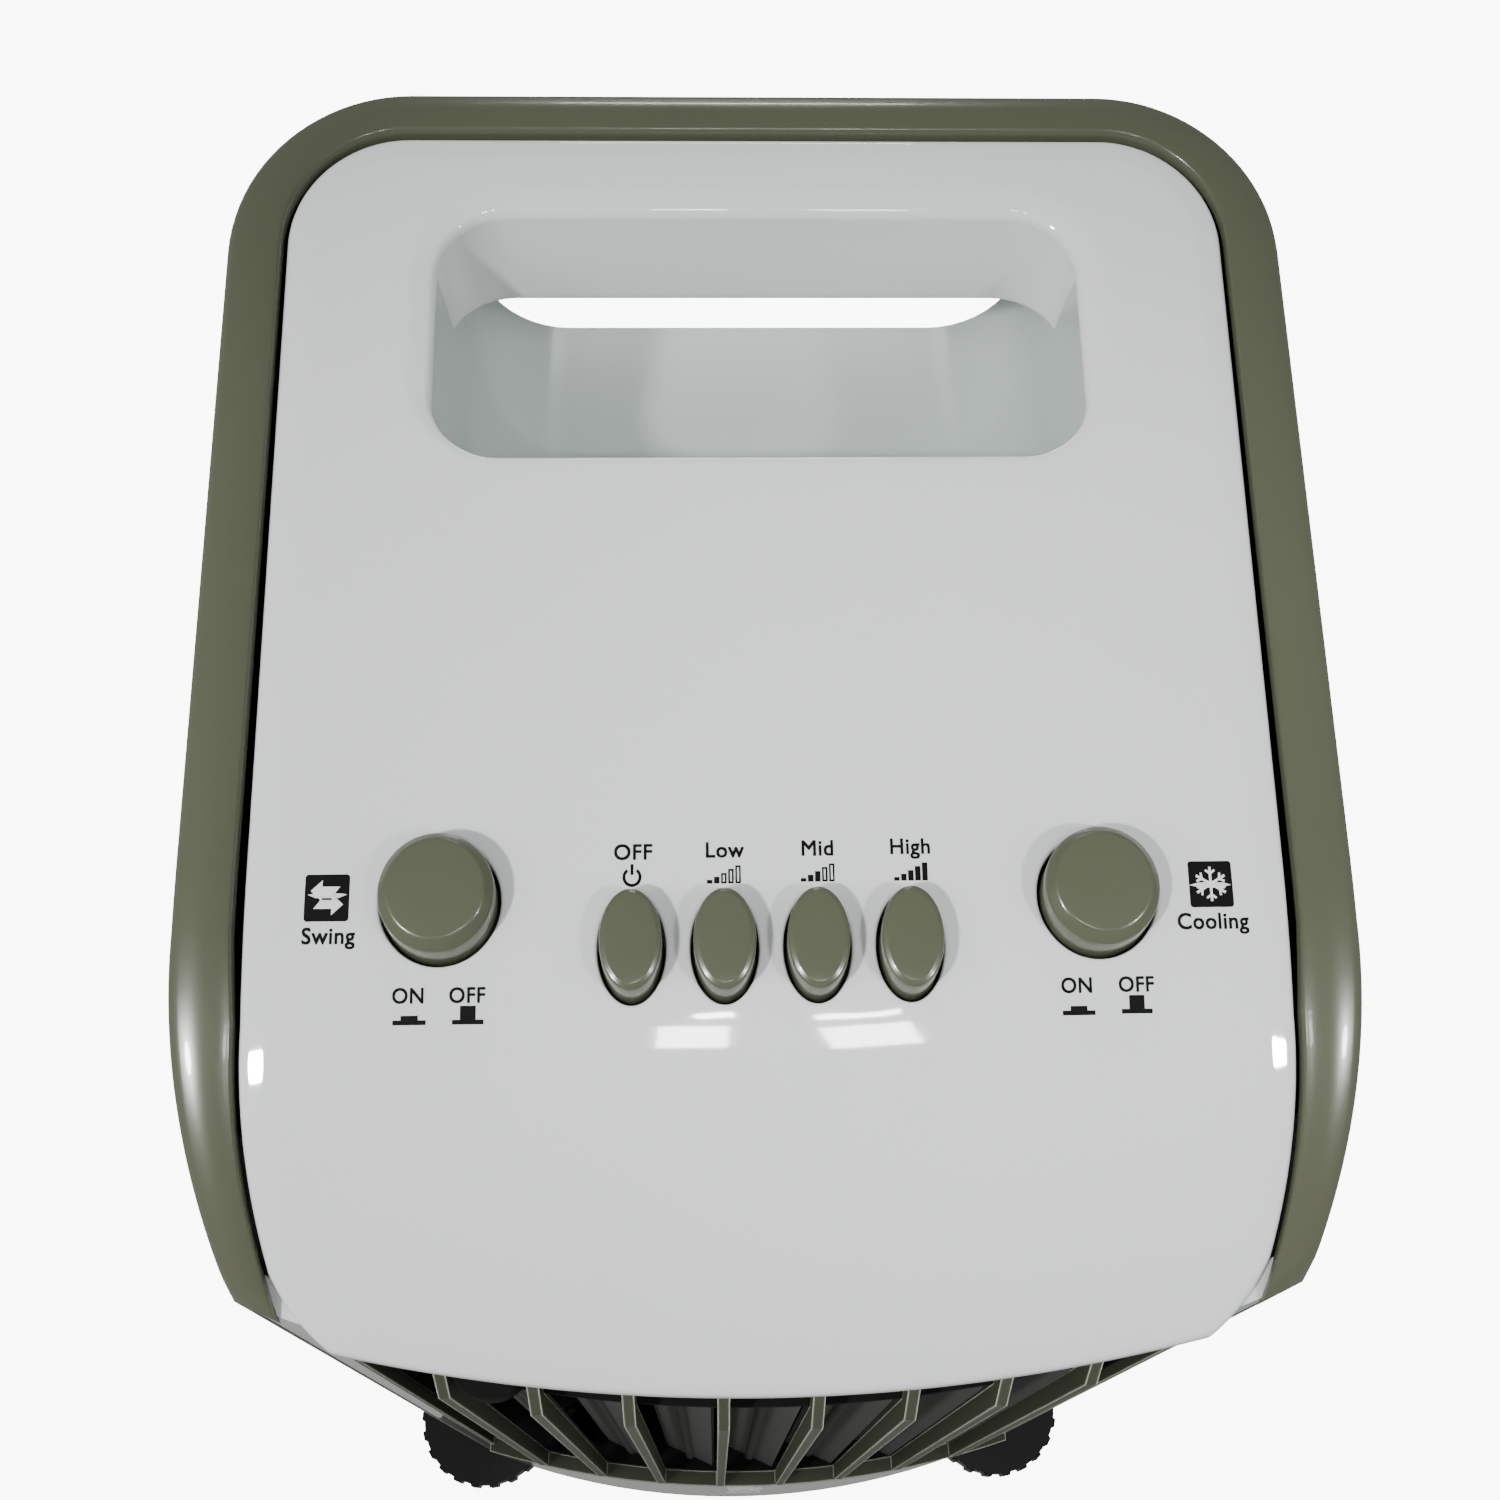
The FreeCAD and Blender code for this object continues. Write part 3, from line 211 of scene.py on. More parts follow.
def carve(obj, *cutters, sharp=35, bevel=0.0):
    """Cuts other solids out of a piece and applies the result."""
    for cutter in cutters:
        modifier = obj.modifiers.new("cut", "BOOLEAN")
        modifier.object = cutter
        modifier.solver = "EXACT"
    if bevel:
        soft = obj.modifiers.new("bevel", "BEVEL")
        soft.width = bevel * MM
        soft.segments = 3
        soft.limit_method = "ANGLE"
        soft.angle_limit = math.radians(50)
        soft.harden_normals = False
    graph = bpy.context.evaluated_depsgraph_get()
    mesh = bpy.data.meshes.new_from_object(obj.evaluated_get(graph))
    obj.modifiers.clear()
    obj.data = mesh
    mesh.shade_smooth()
    mesh.set_sharp_from_angle(angle=math.radians(sharp))
    for cutter in cutters:
        hide_cutter(cutter)
    return obj


def cutter(name, verts, faces):
    mesh = bpy.data.meshes.new(name)
    mesh.from_pydata([tuple(float(c) * MM for c in v) for v in verts], [], faces)
    obj = bpy.data.objects.new(name, mesh)
    bpy.context.scene.collection.objects.link(obj)
    return fix_normals(obj)


def prism_y(name, outline, low, high):
    """A cutter along Y with an x, z outline."""
    verts = [(x, low, z) for x, z in outline] + [(x, high, z) for x, z in outline]
    return cutter(name, verts, loft_faces(2, len(outline)))


# --- materials ------------------------------------------------------------------------

def plastic(name, colour, rough, grain=900, bump=0.02, coat=0.0, tint=0.04, rough_span=0.05, specular=0.5):
    """Moulded plastic: faint cloudy tint, uneven gloss and a fine surface grain."""
    material = bpy.data.materials.new(name)
    material.use_nodes = True
    tree = material.node_tree
    shader = tree.nodes["Principled BSDF"]
    where = tree.nodes.new("ShaderNodeTexCoord")
    cloud = tree.nodes.new("ShaderNodeTexNoise")
    cloud.inputs["Scale"].default_value = 14
    cloud.inputs["Detail"].default_value = 3
    tree.links.new(where.outputs["Object"], cloud.inputs["Vector"])
    ramp = tree.nodes.new("ShaderNodeValToRGB")
    dark = [c * (1 - tint) for c in colour]
    light = [min(c * (1 + tint), 1) for c in colour]
    ramp.color_ramp.elements[0].position, ramp.color_ramp.elements[1].position = 0.3, 0.7
    ramp.color_ramp.elements[0].color = (*dark, 1)
    ramp.color_ramp.elements[1].color = (*light, 1)
    tree.links.new(cloud.outputs["Fac"], ramp.inputs["Fac"])
    tree.links.new(ramp.outputs["Color"], shader.inputs["Base Color"])
    gloss = tree.nodes.new("ShaderNodeMapRange")
    gloss.inputs["To Min"].default_value = max(rough - rough_span, 0.02)
    gloss.inputs["To Max"].default_value = rough + rough_span
    tree.links.new(cloud.outputs["Fac"], gloss.inputs["Value"])
    tree.links.new(gloss.outputs["Result"], shader.inputs["Roughness"])
    fine = tree.nodes.new("ShaderNodeTexNoise")
    fine.inputs["Scale"].default_value = grain
    fine.inputs["Detail"].default_value = 2
    tree.links.new(where.outputs["Object"], fine.inputs["Vector"])
    relief = tree.nodes.new("ShaderNodeBump")
    relief.inputs["Strength"].default_value = bump
    relief.inputs["Distance"].default_value = 0.0003
    tree.links.new(fine.outputs["Fac"], relief.inputs["Height"])
    tree.links.new(relief.outputs["Normal"], shader.inputs["Normal"])
    shader.inputs["Coat Weight"].default_value = coat
    shader.inputs["Coat Roughness"].default_value = 0.02
    shader.inputs["Specular IOR Level"].default_value = specular
    return material


WHITE = plastic("gloss_white", (0.79, 0.815, 0.805), 0.045, 350, 0.005, coat=0.6, tint=0.008,
                rough_span=0.015)
WHITE_SATIN = plastic("satin_white", (0.72, 0.73, 0.72), 0.32, 700, 0.04, tint=0.015)
OLIVE = plastic("olive_gloss", (0.086, 0.093, 0.058), 0.24, 500, 0.02, coat=0.2, tint=0.03, rough_span=0.03)
# The hand recess is the panel's white plastic, coloured darker and greener as painted shade of the recess.
TUB_PAINTED_SHADE = plastic("recess_white_painted_shade", (0.52, 0.59, 0.565), 0.2, 350, 0.015, coat=0.2, tint=0.01, rough_span=0.02)
BLACK = plastic("black_moulded", (0.012, 0.012, 0.012), 0.42, 900, 0.15, tint=0.1)
DARK = plastic("dark_duct", (0.008, 0.009, 0.008), 0.8, 120, 0.02, specular=0.1)
VANE = plastic("vane_dark", (0.065, 0.068, 0.064), 0.7, 200, 0.02, specular=0.12)
GREY = plastic("dark_grey", (0.040, 0.041, 0.042), 0.4, 800, 0.1, tint=0.1)
SWITCH = plastic("switch_ivory", (0.62, 0.58, 0.48), 0.45, 900, 0.08)
INK = plastic("ink", (0.004, 0.004, 0.004), 0.6, 900, 0.0, specular=0.1)
INK_WHITE = plastic("print_white", (0.85, 0.86, 0.86), 0.3, 1500, 0.05, tint=0.02)
RUBBER = plastic("wheel_rubber", (0.02, 0.02, 0.02), 0.6, 1200, 0.3, tint=0.15)
HOSE = plastic("hose_pvc", (0.22, 0.26, 0.26), 0.3, 900, 0.05)
TANK = plastic("tank_white", (0.66, 0.70, 0.72), 0.28, 600, 0.04, tint=0.02)


def metal(name, colour, rough):
    material = plastic(name, colour, rough, 1400, 0.08, tint=0.06)
    material.node_tree.nodes["Principled BSDF"].inputs["Metallic"].default_value = 1.0
    return material


STEEL = metal("bright_steel", (0.58, 0.58, 0.57), 0.3)


def paint_edge_highlight(name, colour, light, radius, rough):
    """Moulded plastic with a painted highlight: its corners are coloured lighter, found from the bevel
    normal.
    """
    material = plastic(name, colour, rough, 700, 0.02, specular=0.25)
    tree = material.node_tree
    corner = tree.nodes.new("ShaderNodeBevel")
    corner.samples = 6
    corner.inputs["Radius"].default_value = radius
    flat = tree.nodes.new("ShaderNodeNewGeometry")
    turn = tree.nodes.new("ShaderNodeVectorMath")
    turn.operation = "DOT_PRODUCT"
    tree.links.new(corner.outputs["Normal"], turn.inputs[0])
    tree.links.new(flat.outputs["Normal"], turn.inputs[1])
    # painted highlight: the light colour where the bevel normal turns away from the true normal, the base
    # colour elsewhere
    ramp = tree.nodes.new("ShaderNodeValToRGB")
    ramp.color_ramp.elements[0].position, ramp.color_ramp.elements[1].position = 0.90, 0.985
    ramp.color_ramp.elements[0].color, ramp.color_ramp.elements[1].color = (*light, 1), (*colour, 1)
    tree.links.new(turn.outputs["Value"], ramp.inputs["Fac"])
    tree.links.new(ramp.outputs["Color"], tree.nodes["Principled BSDF"].inputs["Base Color"])
    return material


def pad_material():
    """Brown wet-pad paper: honeycomb cells seen end-on."""
    material = plastic("pad_paper", (0.30, 0.19, 0.09), 0.8, 300, 0.5, tint=0.25)
    tree = material.node_tree
    where = tree.nodes.new("ShaderNodeTexCoord")
    cells = tree.nodes.new("ShaderNodeTexVoronoi")
    cells.feature = "DISTANCE_TO_EDGE"
    cells.inputs["Scale"].default_value = 140
    tree.links.new(where.outputs["Object"], cells.inputs["Vector"])
    relief = tree.nodes.new("ShaderNodeBump")
    relief.inputs["Strength"].default_value = 1.0
    relief.inputs["Distance"].default_value = 0.003
    relief.invert = True
    tree.links.new(cells.outputs["Distance"], relief.inputs["Height"])
    tree.links.new(relief.outputs["Normal"], tree.nodes["Principled BSDF"].inputs["Normal"])
    return material


def window_material():
    material = plastic("window_clear", (0.75, 0.80, 0.82), 0.08, 900, 0.02, tint=0.01)
    shader = material.node_tree.nodes["Principled BSDF"]
    shader.inputs["Transmission Weight"].default_value = 0.85
    return material


PAD = pad_material()
WINDOW = window_material()
MESH_BLACK = plastic("dust_net", (0.02, 0.02, 0.02), 0.7, 1600, 0.6, tint=0.3)

# --- CAD nodes that keep their shape ---------------------------------------------------

def dress(node, material, bevel=0.0):
    """A finished material on a CAD node, with softened edges where it is bevelled."""
    obj = nodes[node]
    obj.data.materials.clear()
    obj.data.materials.append(material)
    weld = obj.modifiers.new("weld", "WELD")
    weld.merge_threshold = 0.00002
    if bevel:
        soft = obj.modifiers.new("bevel", "BEVEL")
        soft.width = bevel * MM
        soft.segments = 2
        soft.limit_method = "ANGLE"
        soft.angle_limit = math.radians(42)
        even = obj.modifiers.new("even", "WEIGHTED_NORMAL")
        even.keep_sharp = True


KEEP = {
    "front_shell": (WHITE, 0.8), "outlet_duct": (DARK, 0.0), "scroll_housing": (GREY, 0.6),
    "blower_wheel": (GREY, 0), "motor_shaft": (STEEL, 0.3), "fan_motor": (STEEL, 0.8),
    "motor_bracket": (STEEL, 0.3),
    "switch_bracket": (SWITCH, 0.3), "key_switch_bank": (SWITCH, 0.4), "swing_switch": (SWITCH, 0.4),
    "cooling_switch": (SWITCH, 0.4), "swing_spring": (STEEL, 0), "cooling_spring": (STEEL, 0),
    "swing_motor": (DARK, 0.4), "dock_seal": (RUBBER, 0.6), "drip_tray": (GREY, 0.3),
    "cooling_pad": (PAD, 0.5),
    "riser_hose": (HOSE, 0), "inner_deck": (BLACK, 0.3), "base": (BLACK, 1.5), "level_window": (WINDOW, 0.3),
    "cord_gland": (BLACK, 0.5), "terminal_block": (SWITCH, 0.4), "motor_capacitor": (WHITE_SATIN, 1.0),
    "rear_screws": (STEEL, 0.2), "base_screws": (STEEL, 0.2), "link_bar": (DARK, 0.3),
    "water_tank": (TANK, 0.8),
    "water_pump": (GREY, 1.0), "drain_plug": (BLACK, 0.5), "filter_frame": (WHITE, 0.5),
    "dust_mesh": (MESH_BLACK, 0),
}
for index in range(1, sum(node.startswith("vane_") for node in nodes) + 1):
    KEEP["vane_%d" % index] = (VANE, 0.3)
CORNERS = ("front_left", "front_right", "rear_left", "rear_right")
for corner in CORNERS:
    KEEP["caster_fork_" + corner] = (BLACK, 0.8)
    KEEP["caster_wheels_" + corner] = (RUBBER, 1.2)
for node, (material, bevel) in KEEP.items():
    dress(node, material, bevel)


# --- rear shell with its trim band --------------------------------------------------------

def shell_stations():
    """Matching points on the outer outline and on the trim's inner edge, front right to front left."""
    inner_half, inner_back = PANEL_HALF + GAP, PANEL_BACK + GAP
    round_in = PANEL_BACK_R + GAP
    turn_out = (HALF - CORNER_R, BACK - CORNER_R)
    turn_in = (inner_half - round_in, inner_back - round_in)
    waist = inner_half - 1.2
    cheek = (CHEEK[0] + GAP, CHEEK[1])
    outer = [arc((NOSE_HALF, NOSE_Y), (HALF, SIDE_FRONT_Y), SIDE_ARC_R, 34),
             line((HALF, SIDE_FRONT_Y), (HALF, turn_out[1]), 24),
             arc((HALF, turn_out[1]), (turn_out[0], BACK), CORNER_R, 22),
             line((turn_out[0], BACK), (0, BACK), 16)]
    inner = [line(TRIM_TIP, cheek, 6), arc(cheek, (waist, WAIST_Y), PANEL_SIDE_R + GAP, 22),
             line((waist, WAIST_Y), (inner_half, -60), 6),
             line((inner_half, -60), (inner_half, turn_in[1]), 24),
             arc((inner_half, turn_in[1]), (turn_in[0], inner_back), round_in, 22),
             line((turn_in[0], inner_back), (0, inner_back), 16)]
    outer = np.vstack(outer + [[(0, BACK)]])
    inner = np.vstack(inner + [[(0, inner_back)]])
    return (np.vstack([outer, mirror(outer)[1:]]), np.vstack([inner, mirror(inner)[1:]]))


TRIM_ROLL = 3.6
TIP_CHAMFER = 5.0
WALL = 2.6


def shell_ring(outer, inner, drop=0.0):
    """The shell's closed section at one station: wall, rolled edge, crowned trim and flange."""
    across = outer - inner
    width = np.hypot(*across)
    across = across / width
    section = [(width - WALL, None, SKIRT), (width, None, SKIRT)]
    section += [(width, None, height) for height in (180, 300, 420)]
    for angle in (0, 18, 36, 54, 72, 90):
        turn = math.radians(angle)
        section.append((width - TRIM_ROLL * (1 - math.cos(turn)), 0.55 - TRIM_ROLL * (1 - math.sin(turn)),
                        None))
    for part in (0.6, 0.4, 0.2):
        section.append((width * part, 0.55 + 0.5 * math.sin(math.pi * part), None))
    for angle in (90, 60, 30, 0):
        turn = math.radians(angle)
        section.append((1 - math.cos(turn), math.sin(turn) - 0.45, None))
    section += [(0.0, -3.0, None), (width - WALL, -3.0, None)]
    ring = []
    for out, rise, level in section:
        point = inner + across * out
        base = float(roof(max(point[1], -150))) - drop
        z = level if level is not None else base + rise
        ring.append((point[0], point[1], z))
    return ring


def build_shell():
    outer, inner = shell_stations()
    walked = np.concatenate([[0], np.cumsum(np.linalg.norm(np.diff(outer, axis=0), axis=1))])
    from_tip = np.minimum(walked, walked[-1] - walked)
    rings = [shell_ring(o, i, max(TIP_CHAMFER - reach, 0) * 0.6) for o, i,
             reach in zip(outer, inner, from_tip)]
    size = len(rings[0])
    verts = [v for ring in rings for v in ring]
    obj = piece("shell_with_trim", verts, loft_faces(len(rings), size), OLIVE, replaces=("rear_shell",),
                sharp=None)
    fix_normals(obj)
    exit_hole = prism_y("exit", cup(GRIP_HALF + 2.5, GRIP_FLOOR - 2.5, BAR_LOW - 0.2, 27.4), 120, 170)
    low, high = cad("filter_frame")
    filter_hole = prism_y("filter", rounded(high[0] - 6, low[2] + 6, high[2] - 6, 4), 120, 170)
    tank_high = cad("water_tank")[1]
    tank_hole = prism_y("tank", rounded(tank_high[0] + 0.8, SKIRT - 8, tank_high[2] + 0.8, 6), 100, 170)
    gland_low, gland_high = cad("cord_gland")
    centre = (gland_low + gland_high) / 2
    gland_hole = prism_y("gland", oval((centre[0], centre[2]), 7.1, 7.1), 120, 170)
    carve(obj, exit_hole, filter_hole, tank_hole, gland_hole, sharp=28)
    return obj


build_shell()


# --- white panel -------------------------------------------------------------------------

def nearest(points, loop):
    """Distance from each point to a closed loop."""
    a, b = loop, np.roll(loop, -1, 0)
    span = b - a
    best = np.full(len(points), 1e9)
    for start, direction in zip(a, span):
        t = np.clip(((points - start) @ direction) / max(direction @ direction, 1e-9), 0, 1)
        gap = points - (start + t[:, None] * direction)
        best = np.minimum(best, np.hypot(gap[:, 0], gap[:, 1]))
    return best


def inside(points, loop):
    x, y = points[:, 0], points[:, 1]
    hit = np.zeros(len(points), bool)
    for (x0, y0), (x1, y1) in zip(loop, np.roll(loop, -1, 0)):
        crosses = (y0 > y) != (y1 > y)
        where = (x1 - x0) * (y - y0) / (y1 - y0 if y1 != y0 else 1e-9) + x0
        hit ^= crosses & (x < where)
    return hit


def rolled(distance, radius):
    """How far a rounded edge of that radius has dropped at a distance from the edge."""
    near = np.clip(radius - distance, 0, radius)
    return radius - np.sqrt(np.maximum(radius ** 2 - near ** 2, 0))


RIM_FALL, RIM_SOFT = math.tan(math.radians(9)), 0.35
RIM_Y, RIM_WIDTH = (-143, -140, -131, -122, -108, -80), (0, 0, 4.3, 5.1, 5.7, 6.8)
EDGE_R, HOLE_R = 1.4, 0.7
LIP_FALL, LIP_SOFT = math.tan(math.radians(15)), 0.4


def lip(y):
    """Width of the slope round the hand recess, and the radius of its inner edge."""
    back = np.clip((np.asarray(y) - GRIP_FRONT - 3) / 14, 0, 1)
    return 2.0 + 3.8 * back, 0.5 + 1.2 * back


KEY_X = [(sum(cad("key_" + n)[i][0] for i in (0, 1)) / 2) for n in ("off", "low", "mid", "high")]
KEY_BOX = cad("key_off")
KEY_Y = (KEY_BOX[0][1] + KEY_BOX[1][1]) / 2
KEY_HALF = (KEY_BOX[1] - KEY_BOX[0]) / 2
BUTTON_BOX = cad("cooling_button")
BUTTON = (BUTTON_BOX[0] + BUTTON_BOX[1]) / 2
BUTTON_R = (BUTTON_BOX[1][0] - BUTTON_BOX[0][0]) / 2
HOLE_GAP = 0.75


def build_panel():
    outline = panel_outline()
    mouth = rounded(GRIP_HALF, GRIP_FRONT, GRIP_REAR, 17, steps=14, straight=22)
    holes = [oval((x, KEY_Y), KEY_HALF[0] + HOLE_GAP, KEY_HALF[1] + HOLE_GAP, 80) for x in KEY_X]
    holes += [oval((side * BUTTON[0], BUTTON[1]), BUTTON_R + HOLE_GAP, BUTTON_R + HOLE_GAP,
                   96) for side in (-1, 1)]

    def height(points):
        rim = nearest(points, outline)
        beyond = np.interp(points[:, 1], RIM_Y, RIM_WIDTH) - rim
        fall = 0.5 * (beyond + np.sqrt(beyond ** 2 + RIM_SOFT ** 2)) * RIM_FALL
        z = roof(points[:, 1]) - fall - rolled(rim, EDGE_R)
        from_mouth = nearest(points, mouth)
        wide, edge = lip(points[:, 1])
        beyond = wide - from_mouth
        z = z - 0.5 * (beyond + np.sqrt(beyond ** 2 + LIP_SOFT ** 2)) * LIP_FALL - rolled(from_mouth, edge)
        for hole in holes:
            z = z - rolled(nearest(points, hole), HOLE_R)
        return z

    groups = [(outline, -1, (0, 0.15, 0.45, 0.9, 1.6, 2.8, 4.2, 5.6, 6.3, 6.8, 7.3, 8.2))]
    groups += [(mouth, 1, (0, 0.15, 0.4, 0.8, 1.3, 1.8, 2.3, 3.2, 4.4, 5.3, 5.8, 6.3, 7.4))]
    groups += [(hole, 1, (0, 0.1, 0.3, 0.7, 1.3)) for hole in holes]
    points, edges, ring_zero = [], [], []
    for loop, way, steps in groups:
        for step in steps:
            ring = offset(loop, way * step)
            first = len(points)
            points.extend(map(tuple, ring))
            edges.extend((first + i, first + (i + 1) % len(ring)) for i in range(len(ring)))
            if step == 0:
                ring_zero.append((first, len(ring)))
    pitch = 3.6
    grid = []
    for row in range(int(300 / pitch) + 1):
        y = VISOR_Y + row * pitch
        shift = pitch / 2 if row % 2 else 0
        grid.extend((x * pitch + shift, y) for x in range(-36, 37))
    grid = np.array(grid)
    keep = inside(grid, outline) & (nearest(grid, outline) > 10)
    keep &= ~inside(grid, mouth) & (nearest(grid, mouth) > 8.8)
    for hole in holes:
        keep &= ~inside(grid, hole) & (nearest(grid, hole) > 2.8)
    points.extend(map(tuple, grid[keep]))
    flat, _, faces = delaunay_2d_cdt([Vector(p) for p in points], edges, [], 0, 1e-5)[:3]
    flat = np.array([tuple(p) for p in flat])
    faces = np.array([tuple(f) for f in faces])
    centres = flat[faces].mean(1)
    good = inside(centres, outline) & ~inside(centres, mouth)
    for hole in holes:
        good &= ~inside(centres, hole)
    faces = faces[good]
    top = np.column_stack([flat, height(flat)])
    low = np.column_stack([flat, roof(flat[:, 1]) - 4.2])
    low[:, 2] = np.minimum(low[:, 2], top[:, 2] - 1.0)
    count = len(flat)
    verts = np.vstack([top, low])
    all_faces = [tuple(map(int, f)) for f in faces]
    all_faces += [tuple(int(i) + count for i in f[::-1]) for f in faces]
    used = {}
    for f in faces:
        for a, b in ((f[0], f[1]), (f[1], f[2]), (f[2], f[0])):
            used[(int(a), int(b))] = True
    for a, b in list(used):
        if (b, a) not in used:
            all_faces.append((b, a, a + count, b + count))
    obj = piece("control_panel", verts, all_faces, WHITE, replaces=("top_panel",), sharp=40)
    bm = bmesh.new()
    bm.from_mesh(obj.data)
    loose = [v for v in bm.verts if not v.link_faces]
    bmesh.ops.delete(bm, geom=loose, context="VERTS")
    bmesh.ops.recalc_face_normals(bm, faces=bm.faces)
    bm.to_mesh(obj.data)
    bm.free()
    return mouth


def channel(inset, z):
    """Three sides of the recess in plan, moved in by inset, from rear right to rear left."""
    half, front, rear = GRIP_HALF - inset - 0.06, GRIP_FRONT + inset + 0.06, BACK - 0.15
    turn = max(17 - 0.6 * inset, 6)
    right = np.vstack([line((half, rear), (half, GRIP_REAR), 8), line((half, GRIP_REAR),
                                                                      (half, front + turn), 20)])
    angles = -np.arange(13) * math.pi / 2 / 12
    corner = np.array([half - turn, front + turn]) + turn * np.column_stack([np.cos(angles), np.sin(angles)])
    side = np.vstack([right, corner, line((half - turn, front), (0, front), 18)[1:]])
    path = np.vstack([side, [(0, front)], mirror(side)])
    if z is None:
        wide, edge = lip(path[:, 1])
        level = roof(path[:, 1]) - wide * LIP_FALL - edge - 0.05
        behind = path[:, 1] > GRIP_REAR - 15
        z = np.where(path[:, 1] > GRIP_REAR + 3, BAR_LOW + 1.0, level - 3.0 * behind)
    return np.column_stack([path, np.broadcast_to(z, len(path))])


def build_grip(mouth):
    """The moulded hand recess with large fillets, open to the rear, and the bar that the hand closes on."""
    fillet, draft, thick = 25.0, 1.2, 2.4
    lip_ring = channel(0.0, None)
    start = GRIP_FLOOR + fillet
    inner = [lip_ring]
    for part in (0.3, 0.65, 1.0):
        ring = channel(draft * part, 0)
        ring[:, 2] = lip_ring[:, 2] + (start - lip_ring[:, 2]) * part
        inner.append(ring)
    for angle in range(9, 91, 9):
        turn = math.radians(angle)
        inner.append(channel(draft + fillet * (1 - math.cos(turn)),
                             GRIP_FLOOR + fillet * (1 - math.sin(turn))))
    outer = []
    for index, ring in enumerate(inner):
        moved = channel(max(draft * min(index, 3) / 3 if index < 4 else 0, 0) - thick,
                        0) if index < 4 else None
        if moved is None:
            turn = math.radians(9 * (index - 3))
            moved = channel(draft + fillet * (1 - math.cos(turn)) - thick * math.cos(turn), 0)
            moved[:, 2] = GRIP_FLOOR + fillet * (1 - math.sin(turn)) - thick * math.sin(turn)
        else:
            moved[:, 2] = ring[:, 2]
        outer.append(moved)
    count = len(lip_ring)
    grid = inner[::-1] + outer
    verts = np.vstack(grid)
    rows = len(grid)
    faces = []
    for i in range(rows - 1):
        for k in range(count - 1):
            a = i * count + k
            faces.append((a, a + 1, a + count + 1, a + count))
    half = count // 2
    for first in (0, (rows - 1) * count):
        for k in range(half):
            a, b = first + k, first + count - 1 - k
            if k == half - 1:
                faces.append((a, a + 1, b))
            else:
                faces.append((a, a + 1, b - 1, b))
    levels = len(inner)
    for k in (0, count - 1):
        for i in range(levels - 1):
            upper, lower = levels - 1 - i, levels + i
            faces.append((upper * count + k, (upper - 1) * count + k, (lower + 1) * count + k,
                          lower * count + k))
    faces.append((0, count - 1, (rows - 1) * count + count - 1, (rows - 1) * count))
    obj = piece("grip_recess", verts, faces, TUB_PAINTED_SHADE, sharp=None)
    fix_normals(obj)
    obj.data.set_sharp_from_angle(angle=math.radians(50))

    rear = mouth[(mouth[:, 1] > GRIP_REAR - 17.01)]
    rear = rear[np.argsort(-rear[:, 0], kind="stable")]
    rear = np.array(sorted(map(tuple, rear), key=lambda q: math.atan2(q[1] - GRIP_REAR + 40, q[0])))
    keep = [0] + [i for i in range(1, len(rear)) if np.hypot(*(rear[i] - rear[i - 1])) > 0.05]
    rear = rear[keep]
    ahead = np.gradient(rear, axis=0)
    ahead /= np.linalg.norm(ahead, axis=1)[:, None]
    into = np.column_stack([ahead[:, 1], -ahead[:, 0]])
    wide, edge = lip(rear[:, 1])
    top = roof(rear[:, 1]) - wide * LIP_FALL - edge - 0.05
    soft = 3.2
    rear = rear - into * 0.06
    rows = [np.column_stack([rear, top]), np.column_stack([rear, (top + BAR_LOW + soft) / 2]),
            np.column_stack([rear, np.full(len(rear), BAR_LOW + soft)])]
    for angle in (18, 36, 54, 72, 90):
        turn = math.radians(angle)
        rows.append(np.column_stack([rear + into * soft * (1 - math.cos(turn)),
                                     np.full(len(rear), BAR_LOW + soft * (1 - math.sin(turn)))]))
    under = rear + into * soft
    under[:, 0] = np.clip(under[:, 0], -GRIP_HALF - 1.5, GRIP_HALF + 1.5)
    back = under.copy()
    back[:, 1] = BACK - 2.8
    rows.append(np.column_stack([back, np.full(len(rear), BAR_LOW)]))
    rows.append(np.column_stack([back, np.full(len(rear), BAR_LOW + 14)]))
    over = rear + into * 2.5
    rows.append(np.column_stack([over[:, 0], np.maximum(over[:, 1], 121.0),
                                 roof(np.maximum(over[:, 1], 121.0)) - 5.5]))
    rows = np.array(rows)
    verts = rows.reshape(-1, 3)
    across = len(rear)
    faces = [(i * across + k, i * across + k + 1, ((i + 1) % len(rows)) * across + k + 1,
              ((i + 1) % len(rows)) * across + k) for i in range(len(rows)) for k in range(across - 1)]
    faces.append(tuple(i * across for i in range(len(rows))))
    faces.append(tuple(i * across + across - 1 for i in range(len(rows)))[::-1])
    bar = piece("grip_bar", verts, faces, WHITE, sharp=None)
    fix_normals(bar)
    bar.data.set_sharp_from_angle(angle=math.radians(50))


build_grip(build_panel())


# --- keys and buttons ----------------------------------------------------------------------

def push_cap(name, centre, half_x, half_y, rise, chamfer, count, body):
    """A cap with an upright skirt and a flat top parallel to the slope, edge chamfered and rounded."""
    steps = [(0.0, -26.0), (0.0, -chamfer - 0.7), (0.12, -chamfer - 0.25), (0.4, -chamfer + 0.1)]
    steps += [(chamfer, -0.45), (chamfer + 0.35, -0.12), (chamfer + 0.9, 0.0), (half_x * 0.75, 0.0)]
    rings = []
    slope = math.tan(SLOPE)
    top = roof(centre[1]) + rise
    for inset, drop in steps:
        scale_x, scale_y = half_x - inset, half_y - inset
        loop = oval(centre, scale_x, max(scale_y, 0.5), count)
        z = top + (loop[:, 1] - centre[1]) * (slope if drop > -20 else 0) + drop
        rings.append(np.column_stack([loop, z]))
    verts = np.vstack(rings)
    obj = piece(name, verts, loft_faces(len(rings), count), OLIVE, body=body, sharp=None)
    fix_normals(obj)
    return obj


